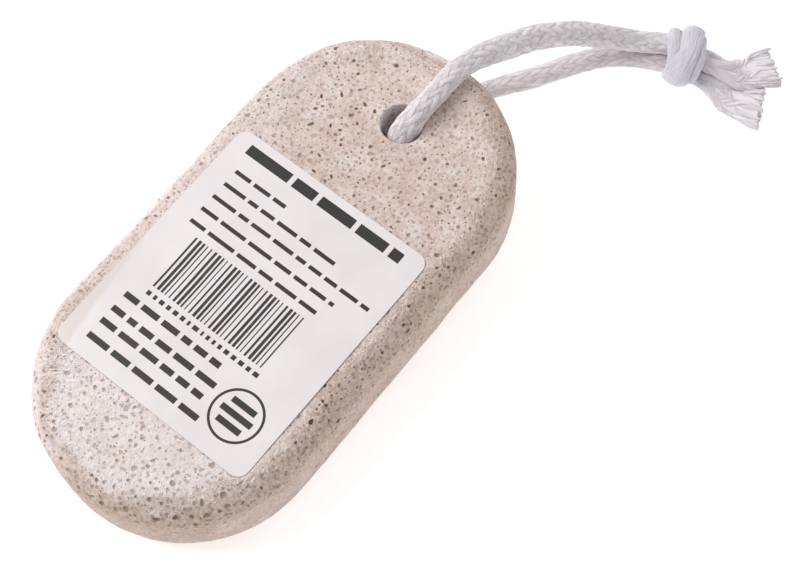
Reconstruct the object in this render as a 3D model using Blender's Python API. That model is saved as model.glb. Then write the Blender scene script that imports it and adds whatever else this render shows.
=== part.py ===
"""Oblong pumice foot stone with a paper label and a looped cotton cord.

A tumbled slab of foamed rock, flat above and below, with worn edges and open pores, is drilled through
near one end. A braided cotton cord goes down the hole, comes back under the end of the stone and is tied
in a doubled overhand knot with two frayed tails. The stone lies with its heel on the ground and its
drilled end on the cord.

Metres, +Z up, +Y from the heel towards the drilled end. The origin is on the ground, under the middle of
the stone's box.
"""
import math

import bmesh
import bpy
import numpy as np
from mathutils import Vector

MM = 0.001

# The stone, in its own frame: underside on z = 0, middle of its plan at x = y = 0.
STONE_LENGTH = 105.0 * MM
STONE_WIDTH = 53.2 * MM
STONE_THICKNESS = 17.5 * MM
TOP_EDGE_RADIUS = 4.3 * MM
BOTTOM_EDGE_RADIUS = 4.2 * MM
END_SQUARENESS = 2.06          # superellipse power of the rounded ends; 2 is a half circle
STONE_TILT = math.radians(3.0)  # the drilled end is lifted by the cord under it
OUTLINE_END_STEPS = 26         # edges on each rounded end
OUTLINE_SIDE_STEPS = 3         # edges on each straight side
EDGE_STEPS = 4                 # bands on each worn edge

# The hole, drilled square to the stone's faces.
HOLE_X = 0.2 * MM
HOLE_Y = 35.2 * MM
HOLE_RADIUS = 4.0 * MM
HOLE_SIDES = 32

# Open pores, cut as six-sided cups. Radius at the surface, and how many lie on each part of the skin.
PORE_SIDES = 6
PORE_RADII = (0.55 * MM, 1.15 * MM)
PORE_DEPTH_RATIO = 0.85        # depth over radius
PORE_FLOOR_RATIO = 0.55        # width of the cup's floor over its mouth
PORE_FLARE_RATIO = 1.25        # width of the cutter above the skin over the mouth
PORE_RISE_RATIO = 0.5          # how far the cutter stands above the skin over the radius
PORE_CLEARANCE = 0.5 * MM      # rock left between two pores
PORES_ON_TOP = 105
PORES_ON_SIDE = 75
PORES_ON_UNDERSIDE = 55
PORE_SEED = 11

# The paper label, glued on the top face.
LABEL_WIDTH = 43.3 * MM
LABEL_LENGTH = 51.3 * MM
LABEL_THICKNESS = 0.2 * MM
LABEL_CORNER_RADIUS = 2.2 * MM
LABEL_CORNER_STEPS = 5
LABEL_X = -0.45 * MM
LABEL_Y = -8.9 * MM
LABEL_TURN = math.radians(-0.3)
GLUE_GAP = 0.3 * MM            # between the stone's face and the label

# The cord's route in the object's frame, in millimetres: out of the knot, up over the drilled end, down
# the hole, out underneath and back along the ground into the knot.
CORD_DIAMETER = 3.8 * MM
CORD_POINT_SPACING = 3.6 * MM
CORD_ROUTE_MM = (
    (23.8, 88.15, 6.4), (20.8, 86.2, 6.5), (17.9, 84.0, 7.1), (14.0, 80.0, 9.5), (10.7, 75.3, 12.9),
    (8.4, 71.1, 16.1), (6.5, 66.6, 19.0), (4.6, 60.5, 22.2), (3.1, 54.2, 24.3), (2.1, 47.6, 25.1),
    (1.2, 40.9, 24.75), (0.7, 37.8, 24.1), (0.4, 35.2, 22.45), (0.3, 33.6, 19.95), (0.3, 33.1, 17.0),
    (0.3, 33.4, 13.4), (0.3, 33.9, 9.75), (0.3, 34.5, 6.75), (0.3, 36.15, 4.25), (0.2, 38.65, 2.55),
    (0.0, 41.6, 1.95), (-0.3, 47.5, 1.92), (-0.4, 53.5, 1.92), (1.5, 60.2, 1.92), (5.1, 65.8, 1.92),
    (8.3, 70.9, 1.92), (11.3, 76.1, 1.92), (14.7, 80.6, 1.92), (19.0, 84.2, 2.0), (24.3, 86.6, 2.5),
)

# The knot: a ball of wrapped cord, squeezed along the line that the cord takes through it.
KNOT_CENTRE = Vector((29.0, 88.9, 5.72)) * MM
KNOT_AXIS = Vector((0.95, 0.31, 0.0)).normalized()
KNOT_HALF_LENGTH = 4.4 * MM
KNOT_HALF_WIDTH = 6.2 * MM
KNOT_HALF_HEIGHT = 5.6 * MM
KNOT_GROOVE = 0.10             # depth of the groove between two turns, over the radius
KNOT_GROOVE_SLANT = 1.1        # how far the groove leans round the ball, radians
KNOT_STEPS = (26, 14)

# The two tails, each a row of (x, y, z, half width, half thickness) in millimetres.
TAIL_SIDES = 14
UPPER_TAIL_MM = (
    (34.1, 91.4, 5.4, 1.9, 1.8), (36.0, 93.2, 4.2, 2.0, 1.7), (38.2, 95.6, 3.0, 2.3, 1.6),
    (40.6, 98.0, 2.2, 3.2, 1.5), (42.9, 100.0, 1.9, 4.2, 1.4),
)
LOWER_TAIL_MM = (
    (34.4, 86.6, 2.7, 1.8, 1.7), (36.6, 86.8, 2.3, 2.2, 1.6), (39.4, 87.5, 1.9, 3.1, 1.5),
    (42.6, 88.8, 1.7, 4.3, 1.4), (46.0, 90.2, 1.6, 5.1, 1.3),
)


def clear_scene():
    """Remove every object that is already there."""
    for thing in list(bpy.data.objects):
        bpy.data.objects.remove(thing, do_unlink=True)


def add_material(thing, name, colour, roughness):
    """Give an object its own plain Principled material."""
    material = bpy.data.materials.new(name)
    material.use_nodes = True
    shader = material.node_tree.nodes["Principled BSDF"]
    shader.inputs["Base Color"].default_value = (*colour, 1.0)
    shader.inputs["Roughness"].default_value = roughness
    shader.inputs["Metallic"].default_value = 0.0
    thing.data.materials.append(material)


def add_object(name, bm):
    """Turn a bmesh into a linked object with outward faces."""
    bmesh.ops.recalc_face_normals(bm, faces=bm.faces)
    mesh = bpy.data.meshes.new(name)
    bm.to_mesh(mesh)
    bm.free()
    thing = bpy.data.objects.new(name, mesh)
    bpy.context.scene.collection.objects.link(thing)
    return thing


def join_rings(bm, rings):
    """Skin a stack of closed rings of points, and cap both ends with one face each."""
    loops = [[bm.verts.new(point) for point in ring] for ring in rings]
    for lower, upper in zip(loops, loops[1:]):
        for i in range(len(lower)):
            j = (i + 1) % len(lower)
            bm.faces.new((lower[i], lower[j], upper[j], upper[i]))
    bm.faces.new(loops[0][::-1])
    bm.faces.new(loops[-1])


def stone_pose():
    """Where the tilted stone rests: the slide that centres its box and sets its heel on z = 0.

    The two worn edges are arcs, so each end of the box is an arc's centre, turned, plus its radius.
    """
    top_reach = STONE_LENGTH / 2 - TOP_EDGE_RADIUS
    bottom_reach = STONE_LENGTH / 2 - BOTTOM_EDGE_RADIUS
    rise = STONE_THICKNESS - TOP_EDGE_RADIUS
    turn, slope = math.cos(STONE_TILT), math.sin(STONE_TILT)
    far_end = bottom_reach * turn - BOTTOM_EDGE_RADIUS * slope + BOTTOM_EDGE_RADIUS
    heel_end = -top_reach * turn - rise * slope - TOP_EDGE_RADIUS
    lowest = -bottom_reach * slope + BOTTOM_EDGE_RADIUS * turn - BOTTOM_EDGE_RADIUS
    return Vector((0.0, -(far_end + heel_end) / 2, -lowest))


def rest_on_ground(thing):
    """Tilt a piece made in the stone's frame and set it where the stone rests."""
    thing.rotation_euler = (STONE_TILT, 0.0, 0.0)
    thing.location = stone_pose()


def outline(inset, end_steps=OUTLINE_END_STEPS, side_steps=OUTLINE_SIDE_STEPS):
    """Plan of the stone, `inset` in from its edge: two superellipse ends joined by straight sides."""
    radius = STONE_WIDTH / 2 - inset
    straight = STONE_LENGTH / 2 - STONE_WIDTH / 2
    power = 2.0 / END_SQUARENESS
    points = []
    for side in (1.0, -1.0):
        for step in range(end_steps + 1):
            angle = math.pi * step / end_steps
            across = side * math.copysign(abs(math.cos(angle)) ** power, math.cos(angle)) * radius
            along = side * (abs(math.sin(angle)) ** power * radius + straight)
            points.append((across, along))
        for step in range(1, side_steps):
            points.append((-side * radius, side * straight * (1.0 - 2.0 * step / side_steps)))
    return points


def edge_profile():
    """Side of the stone from the rim of the top face to the rim of the underside, as (inset, height)."""
    profile = []
    for step in range(EDGE_STEPS + 1):
        angle = 0.5 * math.pi * step / EDGE_STEPS
        inset = TOP_EDGE_RADIUS * (1.0 - math.sin(angle))
        profile.append((inset, STONE_THICKNESS - TOP_EDGE_RADIUS * (1.0 - math.cos(angle))))
    for step in range(EDGE_STEPS + 1):
        angle = 0.5 * math.pi * step / EDGE_STEPS
        inset = BOTTOM_EDGE_RADIUS * (1.0 - math.cos(angle))
        profile.append((inset, BOTTOM_EDGE_RADIUS * (1.0 - math.sin(angle))))
    return profile


def skin_point(around, down):
    """Point and outward normal on the side; both parameters run from 0 to 1, `down` along the profile."""
    wall = STONE_THICKNESS - TOP_EDGE_RADIUS - BOTTOM_EDGE_RADIUS
    top_arc = 0.5 * math.pi * TOP_EDGE_RADIUS
    bottom_arc = 0.5 * math.pi * BOTTOM_EDGE_RADIUS
    travel = down * (top_arc + wall + bottom_arc)
    if travel < top_arc:
        angle = travel / TOP_EDGE_RADIUS
        inset = TOP_EDGE_RADIUS * (1.0 - math.sin(angle))
        height = STONE_THICKNESS - TOP_EDGE_RADIUS * (1.0 - math.cos(angle))
        lean = math.cos(angle)
    elif travel < top_arc + wall:
        inset, height, lean = 0.0, STONE_THICKNESS - TOP_EDGE_RADIUS - (travel - top_arc), 0.0
    else:
        angle = (travel - top_arc - wall) / BOTTOM_EDGE_RADIUS
        inset = BOTTOM_EDGE_RADIUS * (1.0 - math.cos(angle))
        height = BOTTOM_EDGE_RADIUS * (1.0 - math.sin(angle))
        lean = -math.sin(angle)
    ring = np.array(outline(inset))
    steps = np.roll(ring, -1, axis=0) - ring
    lengths = np.hypot(steps[:, 0], steps[:, 1])
    reach = np.concatenate(([0.0], np.cumsum(lengths)))
    place = around * reach[-1]
    edge = min(int(np.searchsorted(reach, place, side="right")) - 1, len(ring) - 1)
    share = (place - reach[edge]) / lengths[edge]
    x, y = ring[edge] + share * steps[edge]
    outward = Vector((steps[edge][1], -steps[edge][0], 0.0)).normalized()
    normal = (outward * math.sqrt(1.0 - lean * lean) + Vector((0.0, 0.0, lean))).normalized()
    return Vector((x, y, height)), normal


def on_flat_face(x, y, margin):
    """True where a point lies on the flat of the top or underside, `margin` in from the worn edge."""
    straight = STONE_LENGTH / 2 - STONE_WIDTH / 2
    reach = STONE_WIDTH / 2 - max(TOP_EDGE_RADIUS, BOTTOM_EDGE_RADIUS) - margin
    return math.hypot(x, max(abs(y) - straight, 0.0)) < reach


def under_label(x, y, margin):
    """True where a point lies under the label or within `margin` of it."""
    dx, dy = x - LABEL_X, y - LABEL_Y
    across = dx * math.cos(LABEL_TURN) + dy * math.sin(LABEL_TURN)
    along = dy * math.cos(LABEL_TURN) - dx * math.sin(LABEL_TURN)
    return abs(across) < LABEL_WIDTH / 2 + margin and abs(along) < LABEL_LENGTH / 2 + margin


def scatter_pores():
    """Seeded positions of the pores, kept apart from each other, the hole and the label."""
    draw = np.random.default_rng(PORE_SEED)
    pores = []

    def try_pore(point, normal, radius):
        if math.hypot(point.x - HOLE_X, point.y - HOLE_Y) < HOLE_RADIUS + radius + PORE_CLEARANCE:
            return False
        for other, _, other_radius in pores:
            if (point - other).length < radius + other_radius + PORE_CLEARANCE:
                return False
        pores.append((point, normal, radius))
        return True

    def draw_radius():
        low, high = PORE_RADII
        return low + (high - low) * float(draw.random()) ** 2

    for height, count in ((STONE_THICKNESS, PORES_ON_TOP), (0.0, PORES_ON_UNDERSIDE)):
        up = Vector((0.0, 0.0, 1.0 if height else -1.0))
        placed = 0
        while placed < count:
            x = float(draw.uniform(-0.5, 0.5)) * STONE_WIDTH
            y = float(draw.uniform(-0.5, 0.5)) * STONE_LENGTH
            radius = draw_radius()
            hidden = height > 0.0 and under_label(x, y, radius)
            if on_flat_face(x, y, radius) and not hidden:
                placed += try_pore(Vector((x, y, height)), up, radius)
    placed = 0
    while placed < PORES_ON_SIDE:
        point, normal = skin_point(float(draw.random()), float(draw.uniform(0.06, 0.94)))
        placed += try_pore(point, normal, draw_radius())
    return pores


def pore_cutter():
    """All the pores' cutters in one hidden object: six-sided cups that flare above the skin."""
    draw = np.random.default_rng(PORE_SEED + 1)
    bm = bmesh.new()
    for centre, normal, radius in scatter_pores():
        across = normal.orthogonal().normalized()
        along = normal.cross(across)
        spin = float(draw.uniform(0.0, math.tau))
        rings = []
        for width, height in (
            (PORE_FLOOR_RATIO * radius, -PORE_DEPTH_RATIO * radius),
            (PORE_FLARE_RATIO * radius, PORE_RISE_RATIO * radius),
        ):
            ring = []
            for corner in range(PORE_SIDES):
                angle = spin + math.tau * corner / PORE_SIDES
                spoke = across * math.cos(angle) + along * math.sin(angle)
                ring.append(centre + spoke * width + normal * height)
            rings.append(ring)
        join_rings(bm, rings)
    return add_object("pore_cutter", bm)


def hole_cutter():
    """The drill: a round bar through the stone."""
    bm = bmesh.new()
    rings = []
    for height in (-STONE_THICKNESS, 2.0 * STONE_THICKNESS):
        ring = []
        for side in range(HOLE_SIDES):
            angle = math.tau * side / HOLE_SIDES
            x = HOLE_X + HOLE_RADIUS * math.cos(angle)
            y = HOLE_Y + HOLE_RADIUS * math.sin(angle)
            ring.append(Vector((x, y, height)))
        rings.append(ring)
    join_rings(bm, rings)
    return add_object("hole_cutter", bm)


def cut_away(thing, cutter):
    """Take a hidden cutter out of an object, which keeps the Boolean as a modifier."""
    cutter.parent = thing
    cutter.display_type = "WIRE"
    cutter.hide_render = True
    boolean = thing.modifiers.new(cutter.name, "BOOLEAN")
    boolean.operation = "DIFFERENCE"
    boolean.solver = "EXACT"
    boolean.object = cutter


def build_stone():
    """The stone: a slab with worn edges, less the drilled hole and the open pores."""
    bm = bmesh.new()
    rings = []
    for inset, height in reversed(edge_profile()):
        rings.append([Vector((x, y, height)) for x, y in outline(inset)])
    join_rings(bm, rings)
    stone = add_object("pumice_stone", bm)
    add_material(stone, "pumice", (0.72, 0.63, 0.58), 0.95)
    rest_on_ground(stone)
    cut_away(stone, hole_cutter())
    cut_away(stone, pore_cutter())
    return stone


def build_label():
    """The label: a thin plate with rounded corners, just above the stone's top face."""
    corners = []
    for side_x, side_y, start in ((1, 1, 0.0), (-1, 1, 0.5), (-1, -1, 1.0), (1, -1, 1.5)):
        centre_x = side_x * (LABEL_WIDTH / 2 - LABEL_CORNER_RADIUS)
        centre_y = side_y * (LABEL_LENGTH / 2 - LABEL_CORNER_RADIUS)
        for step in range(LABEL_CORNER_STEPS + 1):
            angle = math.pi * (start + 0.5 * step / LABEL_CORNER_STEPS)
            across = centre_x + LABEL_CORNER_RADIUS * math.cos(angle)
            along = centre_y + LABEL_CORNER_RADIUS * math.sin(angle)
            x = LABEL_X + across * math.cos(LABEL_TURN) - along * math.sin(LABEL_TURN)
            y = LABEL_Y + across * math.sin(LABEL_TURN) + along * math.cos(LABEL_TURN)
            corners.append((x, y))
    bm = bmesh.new()
    base = STONE_THICKNESS + GLUE_GAP
    join_rings(bm, [[Vector((x, y, z)) for x, y in corners] for z in (base, base + LABEL_THICKNESS)])
    label = add_object("label", bm)
    add_material(label, "label_paper", (0.84, 0.83, 0.85), 0.5)
    rest_on_ground(label)


def smooth_route(points, spacing):
    """Points every `spacing` along the natural cubic spline through a route's own points."""
    knots = np.array(points, dtype=float)
    spans = np.linalg.norm(np.diff(knots, axis=0), axis=1)
    place = np.concatenate(([0.0], np.cumsum(spans)))
    count = len(knots)
    system = np.eye(count)
    bends = np.zeros((count, 3))
    for i in range(1, count - 1):
        system[i, i - 1:i + 2] = (spans[i - 1], 2.0 * (spans[i - 1] + spans[i]), spans[i])
        rise = (knots[i + 1] - knots[i]) / spans[i]
        bends[i] = 6.0 * (rise - (knots[i] - knots[i - 1]) / spans[i - 1])
    bends = np.linalg.solve(system, bends)
    fine = np.linspace(0.0, place[-1], 40 * count)
    span = np.clip(np.searchsorted(place, fine, side="right") - 1, 0, count - 2)
    width = spans[span][:, None]
    after = (fine - place[span])[:, None] / width
    before = 1.0 - after
    curve = before * knots[span] + after * knots[span + 1]
    curve += ((before ** 3 - before) * bends[span] + (after ** 3 - after) * bends[span + 1]) * width ** 2 / 6
    reach = np.concatenate(([0.0], np.cumsum(np.linalg.norm(np.diff(curve, axis=0), axis=1))))
    stations = np.linspace(0.0, reach[-1], int(round(reach[-1] / spacing)) + 1)
    return np.stack([np.interp(stations, reach, curve[:, axis]) for axis in range(3)], axis=1)


def build_cord():
    """The cord's loop: one round tube from the knot, through the stone and back to the knot."""
    route = smooth_route(np.array(CORD_ROUTE_MM) * MM, CORD_POINT_SPACING)
    curve = bpy.data.curves.new("cord_loop", "CURVE")
    curve.dimensions = "3D"
    curve.bevel_depth = CORD_DIAMETER / 2
    curve.bevel_resolution = 2
    curve.use_fill_caps = True
    spline = curve.splines.new("POLY")
    spline.points.add(len(route) - 1)
    for point, place in zip(spline.points, route):
        point.co = (*place, 1.0)
    cord = bpy.data.objects.new("cord_loop", curve)
    bpy.context.scene.collection.objects.link(cord)
    add_material(cord, "cotton_cord", (0.76, 0.76, 0.80), 0.9)


def build_knot():
    """The knot: an egg of wrapped cord with a slanting groove between its two turns."""
    around, along = KNOT_STEPS
    side = Vector((0.0, 0.0, 1.0)).cross(KNOT_AXIS)
    bm = bmesh.new()
    rings = []
    for step in range(1, along):
        polar = math.pi * step / along
        ring = []
        for turn in range(around):
            angle = math.tau * turn / around
            lean = math.cos(polar) + 0.35 * math.sin(angle + KNOT_GROOVE_SLANT)
            groove = 1.0 - KNOT_GROOVE * math.exp(-(lean / 0.22) ** 2) * math.sin(polar)
            reach = math.sin(polar) * groove
            place = KNOT_AXIS * (-KNOT_HALF_LENGTH * math.cos(polar))
            place += side * (KNOT_HALF_WIDTH * reach * math.cos(angle))
            place += Vector((0.0, 0.0, KNOT_HALF_HEIGHT * reach * math.sin(angle)))
            ring.append(KNOT_CENTRE + place)
        rings.append(ring)
    join_rings(bm, rings)
    knot = add_object("cord_knot", bm)
    knot.data.shade_smooth()
    add_material(knot, "cotton_knot", (0.76, 0.76, 0.80), 0.9)


def build_tail(name, stations):
    """A frayed tail: rounded sections along its path, flattened and spread towards the cut end."""
    rows = np.array(stations) * MM
    path = rows[:, :3]
    ahead = np.gradient(path, axis=0)
    bm = bmesh.new()
    rings = []
    for place, heading, (half_width, half_thickness) in zip(path, ahead, rows[:, 3:]):
        forward = Vector(heading).normalized()
        side = Vector((0.0, 0.0, 1.0)).cross(forward).normalized()
        above = forward.cross(side)
        ring = []
        for corner in range(TAIL_SIDES):
            angle = math.tau * corner / TAIL_SIDES
            offset = side * (half_width * math.cos(angle)) + above * (half_thickness * math.sin(angle))
            ring.append(Vector(place) + offset)
        rings.append(ring)
    join_rings(bm, rings)
    tail = add_object(name, bm)
    add_material(tail, name + "_cotton", (0.76, 0.76, 0.80), 0.9)


clear_scene()
build_stone()
build_label()
build_cord()
build_knot()
build_tail("cord_tail_upper", UPPER_TAIL_MM)
build_tail("cord_tail_lower", LOWER_TAIL_MM)
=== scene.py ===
"""Looks of an oblong pumice foot stone with a paper label and a looped, knotted cotton cord.

Lengths are worked out in millimetres and scaled to metres as a mesh is made. The stone and its label are
worked out in the stone's own frame (underside on z = 0, middle of the plan at x = y = 0) and then laid on
the ground by `lay_down`; the cord, its knot and its tails are worked out where they lie.
"""
import math
from functools import partial

import bmesh
import bpy
import numpy as np
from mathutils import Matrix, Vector
from mathutils.geometry import delaunay_2d_cdt


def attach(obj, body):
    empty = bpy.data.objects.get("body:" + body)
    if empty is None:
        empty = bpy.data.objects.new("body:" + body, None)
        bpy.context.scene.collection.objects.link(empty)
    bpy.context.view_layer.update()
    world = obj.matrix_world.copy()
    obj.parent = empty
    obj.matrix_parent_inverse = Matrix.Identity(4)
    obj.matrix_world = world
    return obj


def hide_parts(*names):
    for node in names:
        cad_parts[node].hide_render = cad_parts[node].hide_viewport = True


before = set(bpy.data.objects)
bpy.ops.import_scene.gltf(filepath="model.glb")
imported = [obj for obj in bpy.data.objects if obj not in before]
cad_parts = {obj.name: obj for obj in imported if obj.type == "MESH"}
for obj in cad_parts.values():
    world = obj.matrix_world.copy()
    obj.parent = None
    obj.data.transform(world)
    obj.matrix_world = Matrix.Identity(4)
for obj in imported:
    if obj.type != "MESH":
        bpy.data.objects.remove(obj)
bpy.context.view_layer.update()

MM = 0.001

# ------------------------------------------------------------------ sizes, in millimetres
# The stone and its label have the CAD's sizes. The cord's route keeps within about 1 mm of the CAD's, but its
# ends run on into the knot, and the tails are a little fuller than their solids.

STONE_LENGTH = 105.0
STONE_WIDTH = 53.2
STONE_THICKNESS = 17.5
TOP_EDGE_RADIUS = 4.3
BOTTOM_EDGE_RADIUS = 4.2
END_SQUARENESS = 2.06          # superellipse power of the rounded ends; 2 is a half circle
STONE_TILT = math.radians(3.0)

HOLE_X = 0.2
HOLE_Y = 35.2
HOLE_RADIUS = 4.0

LABEL_WIDTH = 43.3
LABEL_LENGTH = 51.3
LABEL_CORNER_RADIUS = 2.2
LABEL_X = -0.45
LABEL_Y = -8.9
LABEL_TURN = math.radians(-0.3)

CORD_ROUTE = (
    (25.9, 89.1, 6.4), (23.8, 88.15, 6.4), (20.8, 86.2, 6.5), (17.9, 84.0, 7.1), (14.0, 80.0, 9.5),
    (10.7, 75.3, 12.9), (8.7, 71.1, 15.6), (6.9, 66.6, 18.3), (5.2, 60.5, 21.2), (3.5, 54.2, 24.0),
    (2.3, 47.6, 25.0), (2.1, 40.9, 24.5), (1.9, 37.8, 24.0), (1.5, 35.2, 22.3), (0.9, 33.6, 19.95),
    (0.6, 33.2, 17.0), (0.4, 33.4, 13.4), (0.3, 33.9, 9.75), (0.3, 34.5, 6.75), (0.3, 36.15, 4.25),
    (0.2, 38.65, 2.55),
    (0.0, 41.6, 1.95), (-0.3, 47.5, 1.92), (-0.4, 53.5, 1.92), (1.5, 60.2, 1.92), (5.1, 65.8, 1.92),
    (8.3, 70.9, 1.92), (11.3, 76.1, 1.92), (14.7, 80.6, 1.92), (19.0, 84.2, 2.0), (24.3, 86.6, 2.5),
    (26.5, 87.4, 2.7),
)

KNOT_CENTRE = np.array((29.0, 88.9, 5.72))
KNOT_AXIS = np.array((0.95, 0.31, 0.0)) / math.hypot(0.95, 0.31)

# Each tail is a row of (x, y, z, half width, half thickness).
UPPER_TAIL = (
    (31.0, 90.2, 5.9, 1.8, 1.8), (34.2, 90.8, 5.0, 2.2, 1.9), (36.9, 92.0, 3.8, 3.0, 1.8),
    (39.3, 94.3, 2.8, 3.6, 1.7), (41.0, 97.2, 2.2, 4.0, 1.6), (42.8, 99.6, 1.9, 4.0, 1.5),
)
LOWER_TAIL = (
    (31.5, 88.8, 2.9, 1.8, 1.6), (34.4, 88.4, 2.6, 2.2, 1.7), (36.9, 88.2, 2.3, 3.0, 1.6),
    (39.6, 88.4, 1.9, 3.7, 1.5), (42.7, 89.0, 1.7, 4.2, 1.4), (46.0, 90.3, 1.6, 4.8, 1.3),
)

UP = np.array((0.0, 0.0, 1.0))


# ------------------------------------------------------------------ small tools

def unit(vectors):
    """Vectors of length one, along the last axis."""
    return vectors / np.linalg.norm(vectors, axis=-1, keepdims=True)


def smooth_step(value):
    """0 below 0, 1 above 1, and 3t^2 - 2t^3 between."""
    value = np.clip(value, 0.0, 1.0)
    return value * value * (3.0 - 2.0 * value)


def ramp(value, start, width):
    """The smooth step of `value` from `start` over `width`."""
    return smooth_step((value - start) / width)


def circle(count):
    """Angles of `count` places round a full turn."""
    return np.linspace(0.0, math.tau, count, endpoint=False)


def value_noise(points, size, seed):
    """Smooth 3-D noise from -1 to 1 with lumps about `size` across: random heights on the corners of a
    cubic lattice, blended across each cell with the smooth step."""
    side = 32
    lattice = np.random.default_rng(seed).uniform(-1.0, 1.0, (side, side, side))
    cell = np.asarray(points) / size + 7.3          # shifted, so that the origin is no corner of a cell
    base = np.floor(cell).astype(int)
    share = smooth_step(cell - base)
    total = 0.0
    for corner in np.ndindex(2, 2, 2):
        weight = np.prod(np.where(np.array(corner) == 1, share, 1.0 - share), axis=-1)
        index = (base + corner) % side
        total = total + weight * lattice[index[..., 0], index[..., 1], index[..., 2]]
    return total


def steps_along(path):
    """Length from a path's start to each of its points; the points are along the axis before the last."""
    spans = np.linalg.norm(np.diff(path, axis=-2), axis=-1)
    return np.concatenate((np.zeros(spans.shape[:-1] + (1,)), np.cumsum(spans, axis=-1)), axis=-1)


def smooth_route(points, spacing):
    """Points every `spacing` along the natural cubic spline through a route's own points: its second
    derivatives solve one tridiagonal system, and are zero at both ends."""
    knots = np.array(points, dtype=float)
    spans = np.linalg.norm(np.diff(knots, axis=0), axis=1)
    place = steps_along(knots)
    count = len(knots)
    system = np.eye(count)
    bends = np.zeros((count, 3))
    inner = np.arange(1, count - 1)
    system[inner, inner - 1] = spans[:-1]
    system[inner, inner] = 2.0 * (spans[:-1] + spans[1:])
    system[inner, inner + 1] = spans[1:]
    bends[1:-1] = 6.0 * np.diff(np.diff(knots, axis=0) / spans[:, None], axis=0)
    bends = np.linalg.solve(system, bends)
    fine = np.linspace(0.0, place[-1], 40 * count)
    span = np.clip(np.searchsorted(place, fine, side="right") - 1, 0, count - 2)
    width = spans[span][:, None]
    after = (fine - place[span])[:, None] / width
    before = 1.0 - after
    curve = before * knots[span] + after * knots[span + 1]
    curve += ((before ** 3 - before) * bends[span] + (after ** 3 - after) * bends[span + 1]) * width ** 2 / 6
    reach = steps_along(curve)
    stations = np.linspace(0.0, reach[-1], int(round(reach[-1] / spacing)) + 1)
    return np.stack([np.interp(stations, reach, column) for column in curve.T], axis=1)


def lay_down(points):
    """Stone's frame to where it rests: turned by the tilt about x, slid so that its box is centred and its
    heel is on z = 0. The worn edges are arcs, so each end of the box is an arc's centre plus its radius."""
    turn, slope = math.cos(STONE_TILT), math.sin(STONE_TILT)
    top_reach = STONE_LENGTH / 2 - TOP_EDGE_RADIUS
    bottom_reach = STONE_LENGTH / 2 - BOTTOM_EDGE_RADIUS
    rise = STONE_THICKNESS - TOP_EDGE_RADIUS
    far_end = bottom_reach * turn - BOTTOM_EDGE_RADIUS * slope + BOTTOM_EDGE_RADIUS
    heel_end = -top_reach * turn - rise * slope - TOP_EDGE_RADIUS
    lowest = -bottom_reach * slope + BOTTOM_EDGE_RADIUS * turn - BOTTOM_EDGE_RADIUS
    x, y, z = np.moveaxis(np.asarray(points), -1, 0)
    laid_y = y * turn - z * slope - (far_end + heel_end) / 2
    laid_z = y * slope + z * turn - lowest
    return np.stack((x, laid_y, laid_z), axis=-1)


def grid_quads(rows, columns, closed=False):
    """Corners of the quads between the points of a grid, row by row; the last column of a closed grid is
    joined to its first."""
    row, column = np.meshgrid(np.arange(rows - 1), np.arange(columns if closed else columns - 1),
                              indexing="ij")
    here, beside = row * columns + column, row * columns + (column + 1) % columns
    return np.stack((here, beside, beside + columns, here + columns), axis=-1).reshape(-1, 4)


def add_piece(name, points, faces, material, uv=None, values=None, smooth=True):
    """A mesh object from points in millimetres and lists of corners. `uv` holds one pair for each corner of
    each face, and `values` named numbers, one for each point."""
    mesh = bpy.data.meshes.new(name)
    mesh.from_pydata((np.asarray(points) * MM).tolist(), [], faces)
    if uv is not None:
        mesh.uv_layers.new(name="along").data.foreach_set("uv", np.asarray(uv, dtype=np.float32).ravel())
    for key, numbers in (values or {}).items():
        layer = mesh.attributes.new(key, "FLOAT", "POINT")
        layer.data.foreach_set("value", np.asarray(numbers, dtype=np.float32))
    if smooth:
        mesh.shade_smooth()
    mesh.materials.append(material)
    mesh.update()
    piece = bpy.data.objects.new(name, mesh)
    bpy.context.scene.collection.objects.link(piece)
    return piece


# ------------------------------------------------------------------ materials

COLOUR = {"output": 2, "data_type": "RGBA"}      # makes a Mix node one for colours
# What each point of the stone tells its material, 0 to 1: how deep in a pit it lies, which darkens it with
# dust and painted shade, how open that pit is, how brown it is worn (round the heel partly painted shade),
# how near the silky rim with its partly painted glints, how pale it is (white with flour on the faces,
# painted bounce light down the hole's wall), how far its pores are rubbed shut.
STONE_PAINT = ("cavity", "gloom", "edge", "silk", "pale", "rub")
GRAIN_HEADING = math.radians(38.6)   # the froth's threads lean this far from +Y towards -X
STRAY = 0.0006                       # metres by which a torn line strays, on average


def srgb(code):
    """sRGB hex code to linear RGBA."""
    channels = [int(code[i:i + 2], 16) / 255.0 for i in (1, 3, 5)]
    linear = [c / 12.92 if c <= 0.04045 else ((c + 0.055) / 1.055) ** 2.4 for c in channels]
    return (*linear, 1.0)


def node(tree, kind, inputs=None, output=0, stops=(), **settings):
    """Add one shader node and return one of its outputs, by name or number. `inputs` gives sockets a value
    or the output linked to them, `settings` are the node's own, and `stops` a colour ramp's pairs."""
    made = tree.nodes.new("ShaderNode" + kind)
    for key, value in settings.items():
        setattr(made, key, value)
    for socket, value in (inputs or {}).items():
        if isinstance(value, bpy.types.NodeSocket):
            tree.links.new(value, made.inputs[socket])
        else:
            made.inputs[socket].default_value = value
    for place, colour in stops[2:]:
        made.color_ramp.elements.new(place)
    for element, (place, colour) in zip(made.color_ramp.elements if stops else (), stops):
        element.position = place
        element.color = colour if isinstance(colour, tuple) else (colour, colour, colour, 1.0)
    return made.outputs[output]


def new_material(name, shader_inputs):
    """A material with its Principled shader's own values set, and `node` for its tree."""
    material = bpy.data.materials.new(name)
    material.use_nodes = True
    shader = material.node_tree.nodes["Principled BSDF"]
    for socket, value in shader_inputs.items():
        shader.inputs[socket].default_value = value
    return material, partial(node, material.node_tree)


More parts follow.
